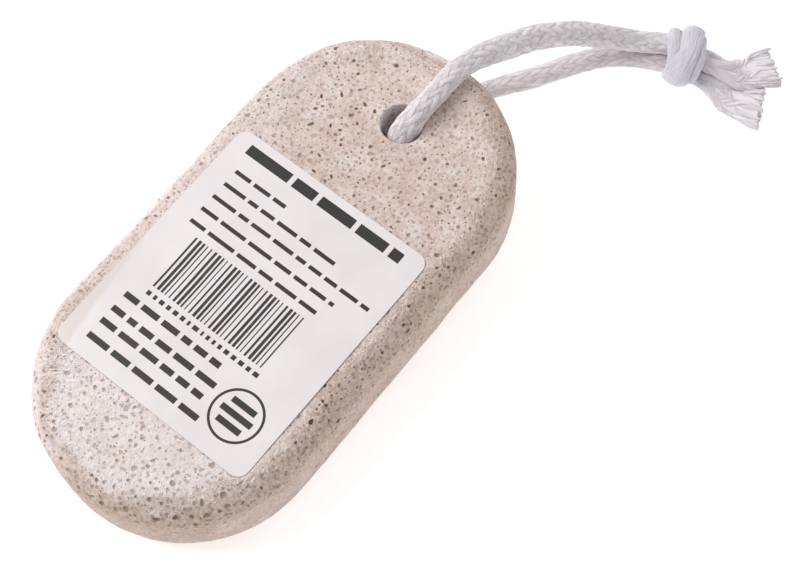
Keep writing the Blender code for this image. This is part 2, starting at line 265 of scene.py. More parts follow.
def link_shader(material, colour, normal=None):
    """Link a colour, and a normal bent by relief, to the material's shader."""
    tree = material.node_tree
    shader = tree.nodes["Principled BSDF"]
    tree.links.new(colour, shader.inputs["Base Color"])
    if normal is not None:
        tree.links.new(normal, shader.inputs["Normal"])
    return material


def pumice_material():
    """Pumice: quenched volcanic froth, sawn and tumbled. The eye gets a chalky matt skin, pink-grey glass
    crushed to white flour on the bubble walls, brown dust in the open pores, darkened further with painted
    shade, and fine silky grain whose white is partly painted glints. The hole's wall is paled with painted
    bounce light, and the worn edge round the heel darkened with painted shade."""
    material, add = new_material("pumice_tumbled", {
        "Roughness": 0.92, "IOR": 1.5, "Specular IOR Level": 0.25})
    where = add("TexCoord", output="Object")
    cavity, gloom, edge, silk, pale, rub = (
        add("Attribute", output="Fac", attribute_name=name) for name in STONE_PAINT)
    unrubbed = add("Math", {0: 1.0, 1: rub}, operation="SUBTRACT")

    # Clouds of paler and browner froth, 4 to 9 mm across, whiter with flour and browner where worn.
    clouds = add("TexNoise", {"Vector": where, "Scale": 190.0, "Detail": 4.0, "Roughness": 0.65})
    body = add("ValToRGB", {"Fac": clouds}, stops=((0.34, srgb("#CAB4AA")), (0.50, srgb("#D3C0B8")),
                                                   (0.66, srgb("#DDCFCA"))))
    whitened = add("Mix", {0: pale, 6: body, 7: srgb("#EBE3E3")}, **COLOUR)
    # Dust rubbed into the worn edge in patches of 1 to 2 mm; round the heel this brown is partly painted
    # shade.
    patches = add("TexNoise", {"Vector": where, "Scale": 800.0, "Detail": 3.0, "Roughness": 0.6})
    rubbed = add("ValToRGB", {"Fac": patches}, stops=((0.38, 0.58), (0.60, 1.0)))
    wear_and_heel_shade_share = add("Math", {0: edge, 1: rubbed}, operation="MULTIPLY")
    worn = add("Mix", {0: wear_and_heel_shade_share, 6: whitened, 7: srgb("#BEA697")}, **COLOUR)
    # Crushed bubble walls, 0.5 mm.
    flour = add("TexNoise", {"Vector": where, "Scale": 1700.0, "Detail": 3.0, "Roughness": 0.6})
    specks = add("ValToRGB", {"Fac": flour}, stops=((0.34, 0.22), (0.66, 0.78)))
    powdered = add("Mix", {0: 0.6, 6: worn, 7: specks}, blend_type="SOFT_LIGHT", **COLOUR)

    def froth_cells(vector, scale, worn_more, pick, disc):
        """Discs on some cells of a froth: on those whose own chance, plus a share of the wear, passes
        `pick`, full within the first of `disc` from the cell's middle and gone at the second."""
        chance = add("TexVoronoi", {"Vector": vector, "Scale": scale}, "Color")
        more = add("Math", {0: edge, 1: worn_more, 2: chance}, operation="MULTIPLY_ADD")
        picked = add("ValToRGB", {"Fac": more}, stops=((pick[0], 0.0), (pick[1], 1.0)))
        away = add("TexVoronoi", {"Vector": vector, "Scale": scale}, "Distance")
        round_spot = add("ValToRGB", {"Fac": away}, stops=((disc[0], 1.0), (disc[1], 0.0)))
        opened = add("Math", {0: round_spot, 1: picked}, operation="MULTIPLY")
        return add("Math", {0: opened, 1: unrubbed}, operation="MULTIPLY")

    # Pores that flour has filled to the brim: soft grey patches, 0.9 mm apart, one cell in three.
    wavy = add("TexNoise", {"Vector": where, "Scale": 1500.0, "Detail": 1.0}, "Color")
    bent = add("Mix", {0: 0.00035, 6: where, 7: wavy}, blend_type="ADD", **COLOUR)
    filled_here = froth_cells(bent, 1000.0, 0.30, (0.52, 0.62), (0.22, 0.42))
    filled_tint = add("Mix", {0: edge, 6: srgb("#C3AFA7"), 7: srgb("#9C8676")}, **COLOUR)
    soft_pored = add("Mix", {0: filled_here, 6: powdered, 7: filled_tint}, **COLOUR)
    # Pin-holes: 0.25 mm, one cell in four of a 0.55 mm froth. They are not cut, so their dark colour is
    # painted shade, with some dust. Real ones are finer still.
    pin_here = froth_cells(where, 1800.0, 0.0, (0.64, 0.74), (0.14, 0.30))
    with_pin_hole_shade = add("Mix", {0: pin_here, 6: soft_pored, 7: srgb("#A08B7F")}, **COLOUR)

    # Broken glass along the rim: white flecks, and on the heel silky threads that lie along the grain; their
    # white is partly the glass's own and partly painted glints.
    grain = add("Mapping", {"Vector": where, "Rotation": (0.0, 0.0, GRAIN_HEADING),
                            "Scale": (0.0005, 0.0013, 0.0009)}, vector_type="TEXTURE")
    threads = add("TexNoise", {"Vector": grain, "Scale": 1.0, "Detail": 2.0})
    glint = add("ValToRGB", {"Fac": threads}, stops=((0.52, 0.0), (0.66, 1.0)))
    glint_share = add("Math", {0: pale, 1: 0.5}, operation="MAXIMUM")
    glint_pale = add("Math", {0: glint, 1: glint_share}, operation="MULTIPLY")
    flecks = add("TexNoise", {"Vector": where, "Scale": 1300.0, "Detail": 2.0})
    fleck = add("ValToRGB", {"Fac": flecks}, stops=((0.57, 0.0), (0.70, 0.9)))
    shining = add("Math", {0: glint_pale, 1: fleck}, operation="MAXIMUM")
    silk_here = add("Math", {0: shining, 1: silk}, operation="MULTIPLY")
    # Rings: places at the same distance, give or take 0.08 mm, from a middle, broken by the flour. Stirring
    # moves every place by STRAY on average, so the middles are moved by it too.
    stirred = add("TexNoise", {"Vector": where, "Scale": 450.0, "Detail": 2.0}, "Color")
    astray = add("Mix", {0: 2 * STRAY, 6: where, 7: stirred}, blend_type="ADD", **COLOUR)
    for around, down, radius in RINGS:
        middle = lay_down(on_side_band(np.array([[around, down]]))[0])[0] * MM + STRAY
        reach = add("VectorMath", {0: astray, 1: middle}, "Value", operation="DISTANCE")
        line = add("Math", {0: reach, 1: radius * MM, 2: 0.00008}, operation="COMPARE")
        broken = add("Math", {0: line, 1: flour}, operation="MULTIPLY")
        silk_here = add("Math", {0: silk_here, 1: broken}, operation="MAXIMUM")
    # Ridges of torn froth at the heel's corner, 0.4 mm apart, across the grain.
    crosswise = add("Mapping", {"Vector": astray, "Rotation": (0.0, 0.0, GRAIN_HEADING),
                                "Scale": (0.0028, 0.0004, 0.0009)}, vector_type="TEXTURE")
    ridges = add("TexNoise", {"Vector": crosswise, "Scale": 1.0, "Detail": 1.5})
    ridge = add("ValToRGB", {"Fac": ridges}, stops=((0.48, 0.0), (0.60, 0.85)))
    torn_middle = lay_down(np.array([TORN_CORNER]))[0] * MM + STRAY
    from_torn = add("VectorMath", {0: astray, 1: torn_middle}, "Value", operation="DISTANCE")
    torn = add("MapRange", {"Value": from_torn, "From Min": 0.0060, "From Max": 0.0030})
    torn_here = add("Math", {0: ridge, 1: torn}, operation="MULTIPLY")
    silk_here = add("Math", {0: silk_here, 1: torn_here}, operation="MAXIMUM")
    # The rim's white marks go on here; on the flecks and threads this white is partly painted glints.
    silky = add("Mix", {0: silk_here, 6: with_pin_hole_shade, 7: srgb("#F0E8E5")}, **COLOUR)

    # Cut pores: floury walls, browner with dust and darker with painted shade the deeper and more open they
    # are.
    shaded = add("ValToRGB", {"Fac": cavity}, stops=((0.0, 0.0), (0.55, 1.0)))
    floury = add("Mix", {0: pale, 6: srgb("#C1B0A9"), 7: srgb("#CFC2BF")}, **COLOUR)
    dust = add("Mix", {0: gloom, 6: floury, 7: srgb("#85705F")}, **COLOUR)
    dust_and_pit_shade = add("Mix", {0: shaded, 6: silky, 7: dust}, **COLOUR)

    # Relief: flour grains, crumpled froth 0.8 mm across on the white heel and along the rim, threads, and
    # filled pores and pin-holes sunk.
    froth = add("TexNoise", {"Vector": where, "Scale": 1150.0, "Detail": 2.0, "Distortion": 0.8})
    rim_share = add("Math", {0: silk, 1: 0.8}, operation="MULTIPLY")
    broken_share = add("Math", {0: pale, 1: rim_share}, operation="MAXIMUM")
    crumpled = add("Math", {0: froth, 1: broken_share}, operation="MULTIPLY")
    rough = add("Math", {0: crumpled, 1: 3.4, 2: flour}, operation="MULTIPLY_ADD")
    sunk = add("Math", {0: filled_here, 1: 0.5, 2: pin_here}, operation="MULTIPLY_ADD")
    pored = add("Math", {0: rough, 1: sunk}, operation="SUBTRACT")
    raised = add("Math", {0: pored, 1: silk_here}, operation="ADD")
    relief = add("Bump", {"Height": raised, "Strength": 0.8, "Distance": 0.0002})
    return link_shader(material, dust_and_pit_shade, relief)


def paper_material():
    """Coated label paper, offset printed in one dark ink: cool white, a soft sheen, faint waves where it
    bridges the pores. The mesh says which faces are inked; the ring is where the distance from its middle
    is near its radius."""
    material, add = new_material("label_paper_coated", {"Roughness": 0.48, "IOR": 1.5})
    where = add("TexCoord", output="Object")
    uv = add("UVMap", uv_map="along")
    place = add("Mapping", {"Vector": uv, "Scale": (100.0, 100.0, 1.0)})   # back to millimetres
    reach = add("VectorMath", {0: place, 1: (*MARK_CENTRE, 0.0)}, "Value", operation="DISTANCE")
    ring = add("Math", {0: reach, 1: MARK_RADIUS - 0.25, 2: 0.25}, operation="COMPARE")
    barred = add("Attribute", output="Fac", attribute_name="ink")
    ink = add("Math", {0: barred, 1: ring}, operation="MAXIMUM")
    tone = add("TexNoise", {"Vector": where, "Scale": 120.0, "Detail": 2.0})
    white = add("ValToRGB", {"Fac": tone}, stops=((0.3, srgb("#DFD8D9")), (0.7, srgb("#E5DFE0"))))
    # Where the paper bends down over the worn edge it is greyed with painted shade: a wedge from the heel's
    # corner up the side, whose border x + 0.132 y = about -21.8 wanders by half a millimetre.
    creased = add("TexNoise", {"Vector": where, "Scale": 260.0, "Detail": 2.0})
    across = add("VectorMath", {0: place, 1: (1.0, 0.132, 0.0)}, "Value", operation="DOT_PRODUCT")
    wandering = add("Math", {0: creased, 1: 1.2, 2: across}, operation="MULTIPLY_ADD")
    bent = add("MapRange", {"Value": wandering, "From Min": -20.8, "From Max": -21.6, "To Max": 0.75})
    # Painted shade of the bent-down paper: the wedge is greyed.
    rubbed = add("Mix", {0: bent, 6: white, 7: srgb("#D6CCC6")}, **COLOUR)
    printed = add("Mix", {0: ink, 6: rubbed, 7: srgb("#232120")}, **COLOUR)
    fibre = add("TexNoise", {"Vector": where, "Scale": 900.0, "Detail": 3.0})
    relief = add("Bump", {"Height": fibre, "Strength": 0.12, "Distance": 0.0001})
    return link_shader(material, printed, relief)


def cotton_material():
    """Bleached cotton, spun and braided: soft cool white, matt with a faint sheen from its fuzz, and fine
    twisted yarns along each strand."""
    material, add = new_material("cotton_braided", {
        "Roughness": 0.9, "IOR": 1.53, "Specular IOR Level": 0.2, "Sheen Weight": 0.25,
        "Sheen Roughness": 0.5, "Subsurface Weight": 0.35, "Subsurface Radius": (1.0, 0.95, 0.95),
        "Subsurface Scale": 0.0009})
    where = add("TexCoord", output="Object")
    uv = add("UVMap", uv_map="along")
    # A single yarn is plainer, and a tail's yarns are whiter with painted light against the shade cast by the
    # knot and their packed neighbours; a frayed end is tinted with a painted warm reflection; and the knot is
    # darkened with painted shade.
    fine, painted_tip_reflection, painted_knot_shade = (
        add("Attribute", output="Fac", attribute_name=name) for name in ("fine", "painted_tip_reflection", "painted_knot_shade"))
    # Yarns run along a strand: lines 0.35 mm apart, wandering over 2 mm. Real ones are half that.
    stretched = add("Mapping", {"Vector": uv, "Scale": (50.0, 285.0, 1.0)})
    yarns = add("TexNoise", {"Vector": stretched, "Scale": 1.0, "Detail": 3.0, "Roughness": 0.6})
    # The cord's pink cast is partly the cotton's own and partly a painted warm reflection.
    cast = add("TexNoise", {"Vector": where, "Scale": 220.0, "Detail": 2.0})
    body = add("ValToRGB", {"Fac": cast}, stops=((0.3, srgb("#F0E6EA")), (0.7, srgb("#F9F0F3"))))
    lines = add("ValToRGB", {"Fac": yarns}, stops=((0.34, 0.83), (0.56, 1.0)))
    lines_share = add("Math", {0: fine, 1: -0.65, 2: 0.8}, operation="MULTIPLY_ADD")
    # Painted light on the tails: their yarns are mixed towards a whiter colour, against the shade of the knot
    # and of the packed yarns.
    tail_painted_light = add("Mix", {0: fine, 6: body, 7: srgb("#FEF5FB")}, **COLOUR)
    lined = add("Mix", {0: lines_share, 6: tail_painted_light, 7: lines}, blend_type="MULTIPLY", **COLOUR)
    # Painted warm reflection on the tips of the frayed ends.
    with_tip_reflection = add("Mix", {0: painted_tip_reflection, 6: lined, 7: srgb("#EADFE0")}, **COLOUR)
    # Painted shade on the knot: its colour is multiplied darker and cooler.
    pulled_run_and_knot_shade = add("Mix", {0: painted_knot_shade, 6: with_tip_reflection, 7: srgb("#E3E9EE")}, blend_type="MULTIPLY", **COLOUR)
    relief = add("Bump", {"Height": yarns, "Strength": 0.9, "Distance": 0.0004})
    return link_shader(material, pulled_run_and_knot_shade, relief)


def floor_material():
    """Matt white board: a bare pale ground."""
    material, add = new_material("white_board", {
        "Roughness": 0.85, "Emission Color": (1.0, 1.0, 1.0, 1.0), "Emission Strength": 0.44})
    where = add("TexCoord", output="Object")
    tone = add("TexNoise", {"Vector": where, "Scale": 3.0, "Detail": 1.0})
    white = add("ValToRGB", {"Fac": tone}, stops=((0.3, srgb("#FAFAFA")), (0.7, srgb("#FDFDFD"))))
    return link_shader(material, white)


# ------------------------------------------------------------------ camera, floor and light

def stand(name, data, place, looking):
    """Put a camera or a lamp at `place`, in metres, looking along `looking`."""
    thing = bpy.data.objects.new(name, data)
    thing.location = place
    thing.rotation_mode = "QUATERNION"
    thing.rotation_quaternion = looking.to_track_quat("-Z", "Y")
    bpy.context.scene.collection.objects.link(thing)
    return thing


def place_camera():
    """A long lens looking down on the stone from beside its heel."""
    data = bpy.data.cameras.new("camera")
    data.sensor_width = 36.0
    data.sensor_fit = "HORIZONTAL"
    data.lens = 82.66
    place = Vector((105.997, -98.306, 311.280)) * MM
    looking = Vector((-0.26890642, 0.33663885, -0.90242098))
    bpy.context.scene.camera = stand("camera", data, place, looking)


def add_light(name, place, size, power):
    """A square soft box aimed at the middle of the stone; `place` in metres."""
    data = bpy.data.lights.new(name, "AREA")
    data.shape = "SQUARE"
    data.size = size
    data.energy = power
    stand(name, data, place, Vector((0.0, 0.015, 0.01)) - Vector(place))


def set_studio():
    """White board below, a broad soft box up and to the left, and an even white surround."""
    half = 1500.0
    corners = [(-half, -half, -0.1), (half, -half, -0.1), (half, half, -0.1), (-half, half, -0.1)]
    add_piece("floor", corners, [(0, 1, 2, 3)], floor_material(), smooth=False)
    add_light("key_softbox", (-0.40, -0.16, 0.50), 0.45, 3.1)
    add_light("fill_softbox", (0.10, 0.60, 0.80), 0.9, 1.5)
    world = bpy.data.worlds.new("studio")
    world.use_nodes = True
    surround = world.node_tree.nodes["Background"]
    surround.inputs["Color"].default_value = (1.0, 1.0, 1.0, 1.0)
    surround.inputs["Strength"].default_value = 0.50
    bpy.context.scene.world = world
    bpy.context.scene.view_settings.view_transform = "Standard"


# ------------------------------------------------------------------ cord, knot and tails

BRAID_STRANDS = 24             # twelve turn one way, twelve the other
BRAID_LEAD = 34.0              # along the cord for one whole turn of a strand
STRAND_FULLNESS = 1.40         # width of a strand over its share of the way round
STRAND_SIDES = 8
STRAND_STEP = 0.5              # between two rings of a strand
YARN_LINES = 24                # yarns that show round a tightened turn of the knot
TURN_STATIONS = 84
KNOTTED_DIAMETER = 3.5         # of the two cords that run through the knot
TAIL_STRANDS = 8
STRAND_YARNS = 11
YARN_SIDES = 6
YARN_RADIUS = 0.27
YARN_STATIONS = 46


def tube_skin(rings):
    """Closed tubes through rings of points, (tube, station, side, 3). Returns points, quad and cap faces,
    and corner UVs: length along the tube, and length round it; 100 mm is 1."""
    tubes, stations, sides = rings.shape[:3]
    first = (np.arange(tubes) * stations * sides)[:, None]
    quads = (grid_quads(stations, sides, closed=True) + first[:, None]).reshape(-1, 4)
    own_start = np.arange(tubes)[:, None] * 0.37              # so that no two tubes show the same yarns
    reach = steps_along(rings.mean(axis=2)) / 100.0 + own_start
    low, high = reach[:, :-1, None], reach[:, 1:, None]
    girth = steps_along(np.concatenate((rings, rings[:, :, :1]), axis=2))[..., -1].mean(axis=1) / 100.0
    side = np.arange(sides)
    left, right = side / sides * girth[:, None, None], (side + 1) / sides * girth[:, None, None]
    corners = np.broadcast_arrays(low, left, low, right, high, right, high, left)
    caps = np.concatenate((first + side[::-1], first + (stations - 1) * sides + side))
    uv = np.concatenate((np.stack(corners, axis=-1).reshape(-1, 2), np.zeros((caps.size, 2))))
    return rings.reshape(-1, 3), quads.tolist() + caps.tolist(), uv


def oval_tubes(centres, radial, widths, thicknesses, sides=STRAND_SIDES, press=None):
    """Closed flat-oval tubes. `centres` and `radial` are (tube, station, 3); a ring is the ellipse
    wide * cos + radial * sin, square to the tube, times `press` at each station and side."""
    ahead = unit(np.gradient(centres, axis=1))
    wide = unit(np.cross(ahead, radial))
    outward = np.cross(wide, ahead)
    turn = circle(sides)
    press = np.ones(sides) if press is None else press
    ring = (wide[:, :, None] * (widths[..., None] / 2 * np.cos(turn) * press)[..., None]
            + outward[:, :, None] * (thicknesses[..., None] / 2 * np.sin(turn) * press)[..., None])
    return tube_skin(centres[:, :, None] + ring)


def braid(path, diameters, across):
    """A round braid of 24 strands along `path`, half of them turning each way. Strand k winds as angle =
    k * 30 degrees plus or minus one turn per lead; it rides over two crossings and under two, which moves it
    in and out by a cosine of its number and its place, so that neighbours are half a beat apart."""
    steps = steps_along(path)
    ahead = unit(np.gradient(path, axis=0))
    side = unit(across - ahead * (ahead @ across)[:, None])
    over = np.cross(ahead, side)
    half = BRAID_STRANDS // 2
    hand = np.array((1.0, -1.0))[:, None, None]
    number = np.arange(half)[:, None]
    thickness = 0.145 * diameters
    lift = 0.018 * diameters
    middle = diameters / 2 - thickness / 2
    angle = number * math.tau / half + hand * math.tau * steps / BRAID_LEAD
    beat = 2 * number + hand * (BRAID_STRANDS * steps / BRAID_LEAD) + (hand - 1.0)
    radius = middle + lift * np.cos(math.tau * (beat - 0.5) / 4.0)
    # A soft braid is uneven: its strands wander sideways, and in and out.
    wander = np.stack(np.broadcast_arrays(number, 0.19 * steps, hand), axis=-1)
    angle = angle + 0.13 * value_noise(wander, 0.53, 61)
    radius = radius * (1.0 + 0.06 * value_noise(wander * 1.7, 0.61, 62))
    out = np.cos(angle)[..., None] * side + np.sin(angle)[..., None] * over
    strands = (BRAID_STRANDS, len(path), 3)
    slant = np.cos(np.arctan(math.pi * middle * 2 / BRAID_LEAD))
    widths = np.broadcast_to(STRAND_FULLNESS * math.tau * middle * slant / half, strands[:2])
    return oval_tubes((path + radius[..., None] * out).reshape(strands), out.reshape(strands), widths,
                      np.broadcast_to(thickness, strands[:2]))


def join_parts(parts):
    """Put several (points, faces, uv) sets into one."""
    points, faces, uvs, shift = [], [], [], 0
    for part_points, part_faces, part_uv in parts:
        points.append(part_points)
        faces += [[corner + shift for corner in face] for face in part_faces]
        uvs.append(part_uv)
        shift += len(part_points)
    return np.concatenate(points), faces, np.concatenate(uvs)


def build_cord(material):
    """The loop: fullest on its slack upper run and where it folds into the hole, tighter below it."""
    path = smooth_route(CORD_ROUTE, STRAND_STEP)
    share = np.linspace(0.0, 1.0, len(path))
    slack = ramp(share, 0.03, 0.12) * (1.0 - ramp(share, 0.27, 0.09))
    spread = ramp(share, 0.42, 0.03) * (1.0 - ramp(share, 0.50, 0.06))
    pulled_run_and_knot_shade = ramp(share, 0.50, 0.06) * (1.0 - ramp(share, 0.72, 0.10))
    diameters = 4.2 + 0.75 * slack + 0.55 * spread - 0.5 * pulled_run_and_knot_shade
    points, faces, uv = braid(path, diameters, np.array((0.96, -0.28, 0.0)))
    points[:, 2] = np.maximum(points[:, 2], 0.0)
    cord = add_piece("cord_braid", points, faces, material, uv)
    return cord, path


# Turns of the knot: rows of (degrees round the knot's axis, shift along it, reach of the middle line to the
# side and up, width, thickness). The first row and the last are sunk in the knot.
KNOT_TURNS = (
    (   # wide turn that crosses in front
        (-45, -0.6, 3.0, 2.3, 3.0, 2.5), (5, -0.4, 5.0, 3.9, 4.0, 2.8), (60, -0.7, 5.3, 4.25, 4.5, 2.9),
        (110, 0.1, 5.1, 4.2, 3.9, 3.0), (155, -1.0, 5.2, 4.1, 5.4, 3.0), (195, -1.4, 5.2, 4.0, 5.8, 3.0),
        (245, -1.0, 4.8, 3.9, 5.0, 2.8), (290, -0.6, 4.3, 3.6, 4.2, 2.8), (325, -0.4, 3.0, 2.4, 3.2, 2.5),
    ),
    (   # small turn on the loop's side, which dives under the wide one
        (-50, -1.8, 2.4, 2.1, 2.6, 2.4), (0, -3.6, 3.3, 2.8, 2.8, 2.6), (45, -4.1, 3.7, 3.1, 3.1, 2.7),
        (80, -3.6, 3.8, 3.2, 3.2, 2.7), (115, -2.7, 3.7, 3.1, 3.2, 2.7), (150, -2.3, 3.4, 3.0, 3.0, 2.5),
        (195, -2.4, 3.2, 2.8, 3.0, 2.4), (245, -2.8, 3.2, 2.8, 2.8, 2.4), (300, -2.6, 2.6, 2.4, 2.6, 2.4),
        (330, -1.8, 1.8, 1.8, 2.4, 2.2),
    ),
    (   # thin turn on the tails' side, half hidden behind the wide one
        (-30, 0.8, 2.4, 2.0, 2.4, 2.4), (20, 1.1, 3.7, 3.1, 2.6, 2.4), (60, 1.1, 4.1, 3.4, 2.6, 2.4),
        (85, 1.5, 4.1, 3.4, 2.4, 2.4), (115, 2.1, 4.1, 3.4, 2.3, 2.4), (150, 1.9, 4.1, 3.3, 2.3, 2.4),
        (200, 1.3, 4.0, 3.2, 2.6, 2.4), (260, 1.3, 3.7, 3.0, 2.6, 2.4), (320, 1.0, 2.4, 2.0, 2.4, 2.2),
    ),
)


def yarn_turn(rows, seed):
    """One tightened turn of the cord: its braid is drawn out until its yarns lie side by side, so it is an
    oval tube pressed in between yarns by |sin(n/2 * angle)|, whose lines slip slowly round it."""
    degrees, *columns = np.array(rows, dtype=float).T
    angle = np.linspace(degrees[0], degrees[-1], TURN_STATIONS)
    window = np.hanning(13)
    kernel = window[1:-1] / window.sum()                      # the window's two ends are zero
    smoothed = []
    for column in columns:
        drawn = np.pad(np.interp(angle, degrees, column), len(kernel) // 2, mode="edge")
        smoothed.append(np.convolve(drawn, kernel, mode="valid"))
    shift, reach_side, reach_up, widths, thicknesses = smoothed
    angle = np.radians(angle)
    out = (np.cross(UP, KNOT_AXIS) * (reach_side * np.cos(angle))[:, None]
           + UP * (reach_up * np.sin(angle))[:, None])
    centres = KNOT_CENTRE + KNOT_AXIS * shift[:, None] + out
    sides = 5 * YARN_LINES
    turn = circle(sides)[None]
    steps = steps_along(centres)[:, None]
    place = np.stack(np.broadcast_arrays(steps / 3.0, 1.2 * np.cos(turn), 1.2 * np.sin(turn)), axis=-1)
    slipped = turn + 0.045 * steps + 0.35 * value_noise(place, 1.0, seed)
    lines = np.abs(np.sin(YARN_LINES / 2 * slipped))
    fresh = 0.5 + 0.5 * value_noise(place, 0.5, seed + 2)
    press = 1.0 - (0.04 + 0.09 * fresh) * (1.0 - lines) + 0.08 * value_noise(place, 1.0, seed + 1)
    return oval_tubes(centres[None], out[None], widths[None], thicknesses[None], sides, press[None])


def build_knot(material):
    """Three turns round the two cords that run through the knot."""
    parts = [yarn_turn(rows, 70 + 5 * number) for number, rows in enumerate(KNOT_TURNS)]
    for start, end in ((CORD_ROUTE[0], UPPER_TAIL[1]), (CORD_ROUTE[-1], LOWER_TAIL[1])):
        middle = (np.array(start) + np.array(end[:3])) / 2
        path = smooth_route((start, middle, end[:3]), STRAND_STEP)
        parts.append(braid(path, np.full(len(path), KNOTTED_DIAMETER), UP))
    points, faces, uv = join_parts(parts)
    points[:, 2] = np.maximum(points[:, 2], 0.0)
    # Every point of the knot is marked for its painted shade.
    return add_piece("cord_knot_turns", points, faces, material, uv, {"painted_knot_shade": np.ones(len(points))})


def build_tail(name, rows, material, seed):
    """A frayed end. Eight strands of eleven yarns leave the knot winding both ways, the one in front at a
    crossing set by cos(2 * angle); then each yarn goes to a place of its own in a flat fan, and stops at
    a length of its own."""
    draw = np.random.default_rng(seed)
    place = np.array(rows)
    place = np.vstack((place, 2.0 * place[-1] - place[-2]))      # room for the longest yarns
    reach = steps_along(place[:, :3])
    fray = reach[-2]
    path = smooth_route(place[:, :3], 0.25)
    along = np.linspace(0.0, reach[-1], len(path))
    ahead = unit(np.gradient(path, axis=0))
    side = unit(np.cross(UP, ahead))
    over = np.cross(ahead, side)
    count = TAIL_STRANDS * STRAND_YARNS
    strand, yarn = np.divmod(np.arange(count), STRAND_YARNS)
    lengths = fray * (0.99 + draw.uniform(-0.03, 0.01, count) + 0.015 * np.cos(2.6 * strand))
    where = np.linspace(0.0, 1.0, YARN_STATIONS)[None] * lengths[:, None]
    opened = where / fray

    def carried(values):
        """A value or a vector of the path at every yarn's stations."""
        columns = values.reshape(len(path), -1).T
        return np.stack([np.interp(where, along, column) for column in columns], axis=-1)

    half_width = np.interp(where, reach, place[:, 3])
    half_thick = np.interp(where, reach, place[:, 4])
    hand = np.where(strand % 2 == 0, 1.0, -1.0)[:, None]
    wound = 2.3 * (1.0 - (1.0 - np.minimum(opened, 1.0)) ** 1.6)
    angle = (strand * math.tau / TAIL_STRANDS)[:, None] + hand * wound
    distance = 0.60 + 0.15 * hand * np.cos(2.0 * angle)
    spin = (yarn * math.tau / STRAND_YARNS)[:, None] + hand * where * 0.9
    near_x = distance * np.cos(angle) + 0.28 * np.cos(spin)
    near_y = distance * np.sin(angle) + 0.28 * np.sin(spin)
    order = np.argsort(np.argsort(np.cos(angle[::STRAND_YARNS, -1])))[strand]
    far_x = (order + (yarn + 0.5) / STRAND_YARNS) / TAIL_STRANDS * 2.0 - 1.0 + draw.normal(0.0, 0.05, count)
    far_y = draw.uniform(-0.8, 0.8, count)
    apart = smooth_step((opened - 0.30 - draw.uniform(0.0, 0.12, count)[:, None]) / 0.62)
    x = near_x * (1.0 - apart) + np.clip(far_x, -1.0, 1.0)[:, None] * apart
    y = near_y * (1.0 - apart) + far_y[:, None] * apart
    own = (3.3 * strand + 0.15 * yarn)[:, None]
    roam = np.stack(np.broadcast_arrays(where / 3.0, own, 0.0), axis=-1)
    x = x + 0.07 * apart * value_noise(roam, 1.0, seed + 1)
    y = y + 0.15 * apart * value_noise(roam, 1.0, seed + 2)
    centres = (carried(path) + carried(side) * (half_width * x)[..., None]
               + carried(over) * (half_thick * y)[..., None])
    radius = YARN_RADIUS * (1.0 + 0.30 * apart) * (1.0 - 0.3 * ramp(opened, 0.97, 0.05))
    centres[..., 2] = np.maximum(centres[..., 2], radius)
    yarns = oval_tubes(centres, carried(over), 2.0 * radius, 2.0 * radius, YARN_SIDES)

    # A core of packed yarns, so that the fan has no holes in it.
    inner = along < 0.96 * fray
    core_width = 1.9 * np.interp(along[inner], reach, place[:, 3])
    core_depth = 1.55 * np.interp(along[inner], reach, place[:, 4])
    sides = 5 * YARN_LINES
    turn = circle(sides)[None]
    press = 0.92 + 0.08 * np.abs(np.sin(YARN_LINES / 2 * (turn + 0.03 * along[inner][:, None])))
    core = oval_tubes(path[inner][None], over[inner][None], core_width[None], core_depth[None], sides,
                      press[None])
    points, faces, uv = join_parts((yarns, core))
    points[:, 2] = np.maximum(points[:, 2], 0.0)
    # Painted warm reflection: it grows towards the yarns' tips.
    painted_tip_reflection = np.repeat(ramp(opened, 0.72, 0.35) ** 2, YARN_SIDES, axis=1).ravel()
    painted_tip_reflection = np.concatenate((painted_tip_reflection, np.zeros(len(core[0]))))
    # fine marks every point of a tail: plainer yarn lines and whiter painted light.
    return add_piece(name, points, faces, material, uv, {"painted_tip_reflection": painted_tip_reflection, "fine": np.ones(len(points))})


# ------------------------------------------------------------------ stone

PIT_GAP = 0.08                 # rock left between two pits
PIT_LEAST = 0.17               # radius of the smallest pits that are cut
PIT_SPREAD = 0.062             # scale of the gamma law by which larger ones grow rarer
PIT_MOST = 0.52
RIM_SPACING = 0.60             # between two points of the line where two faces of the stone meet
SKIN_SPACING = 0.62            # between two points of the unbroken skin
PIT_SWELL = 1.15               # how far a pit's wobble may carry it past its radius
RIM_CLEARANCE = 0.12           # rock left between a pit and a chart's rim
HIDDEN_SPACING = 1.6           # between two points of the skin that the label hides
LABEL_TUCK = 0.6               # how far in under the label's edge pits are still cut
HOLE_MOUTH = 0.4               # radius of the worn mouth of the hole
HOLE_STEPS = 76                # points round the hole
HALF_WIDTH = STONE_WIDTH / 2
STRAIGHT = (STONE_LENGTH - STONE_WIDTH) / 2
TOP_ARC = math.pi / 2 * TOP_EDGE_RADIUS
BOTTOM_ARC = math.pi / 2 * BOTTOM_EDGE_RADIUS
WALL = STONE_THICKNESS - TOP_EDGE_RADIUS - BOTTOM_EDGE_RADIUS
BAND = TOP_ARC + WALL + BOTTOM_ARC            # from the top's rim to the underside's rim over the side
LAP = 4 * STRAIGHT + math.tau * HALF_WIDTH    # once round the stone
FACE_HIGH = (HALF_WIDTH, STONE_LENGTH / 2)
FACE_LOW = (-HALF_WIDTH, -STONE_LENGTH / 2)


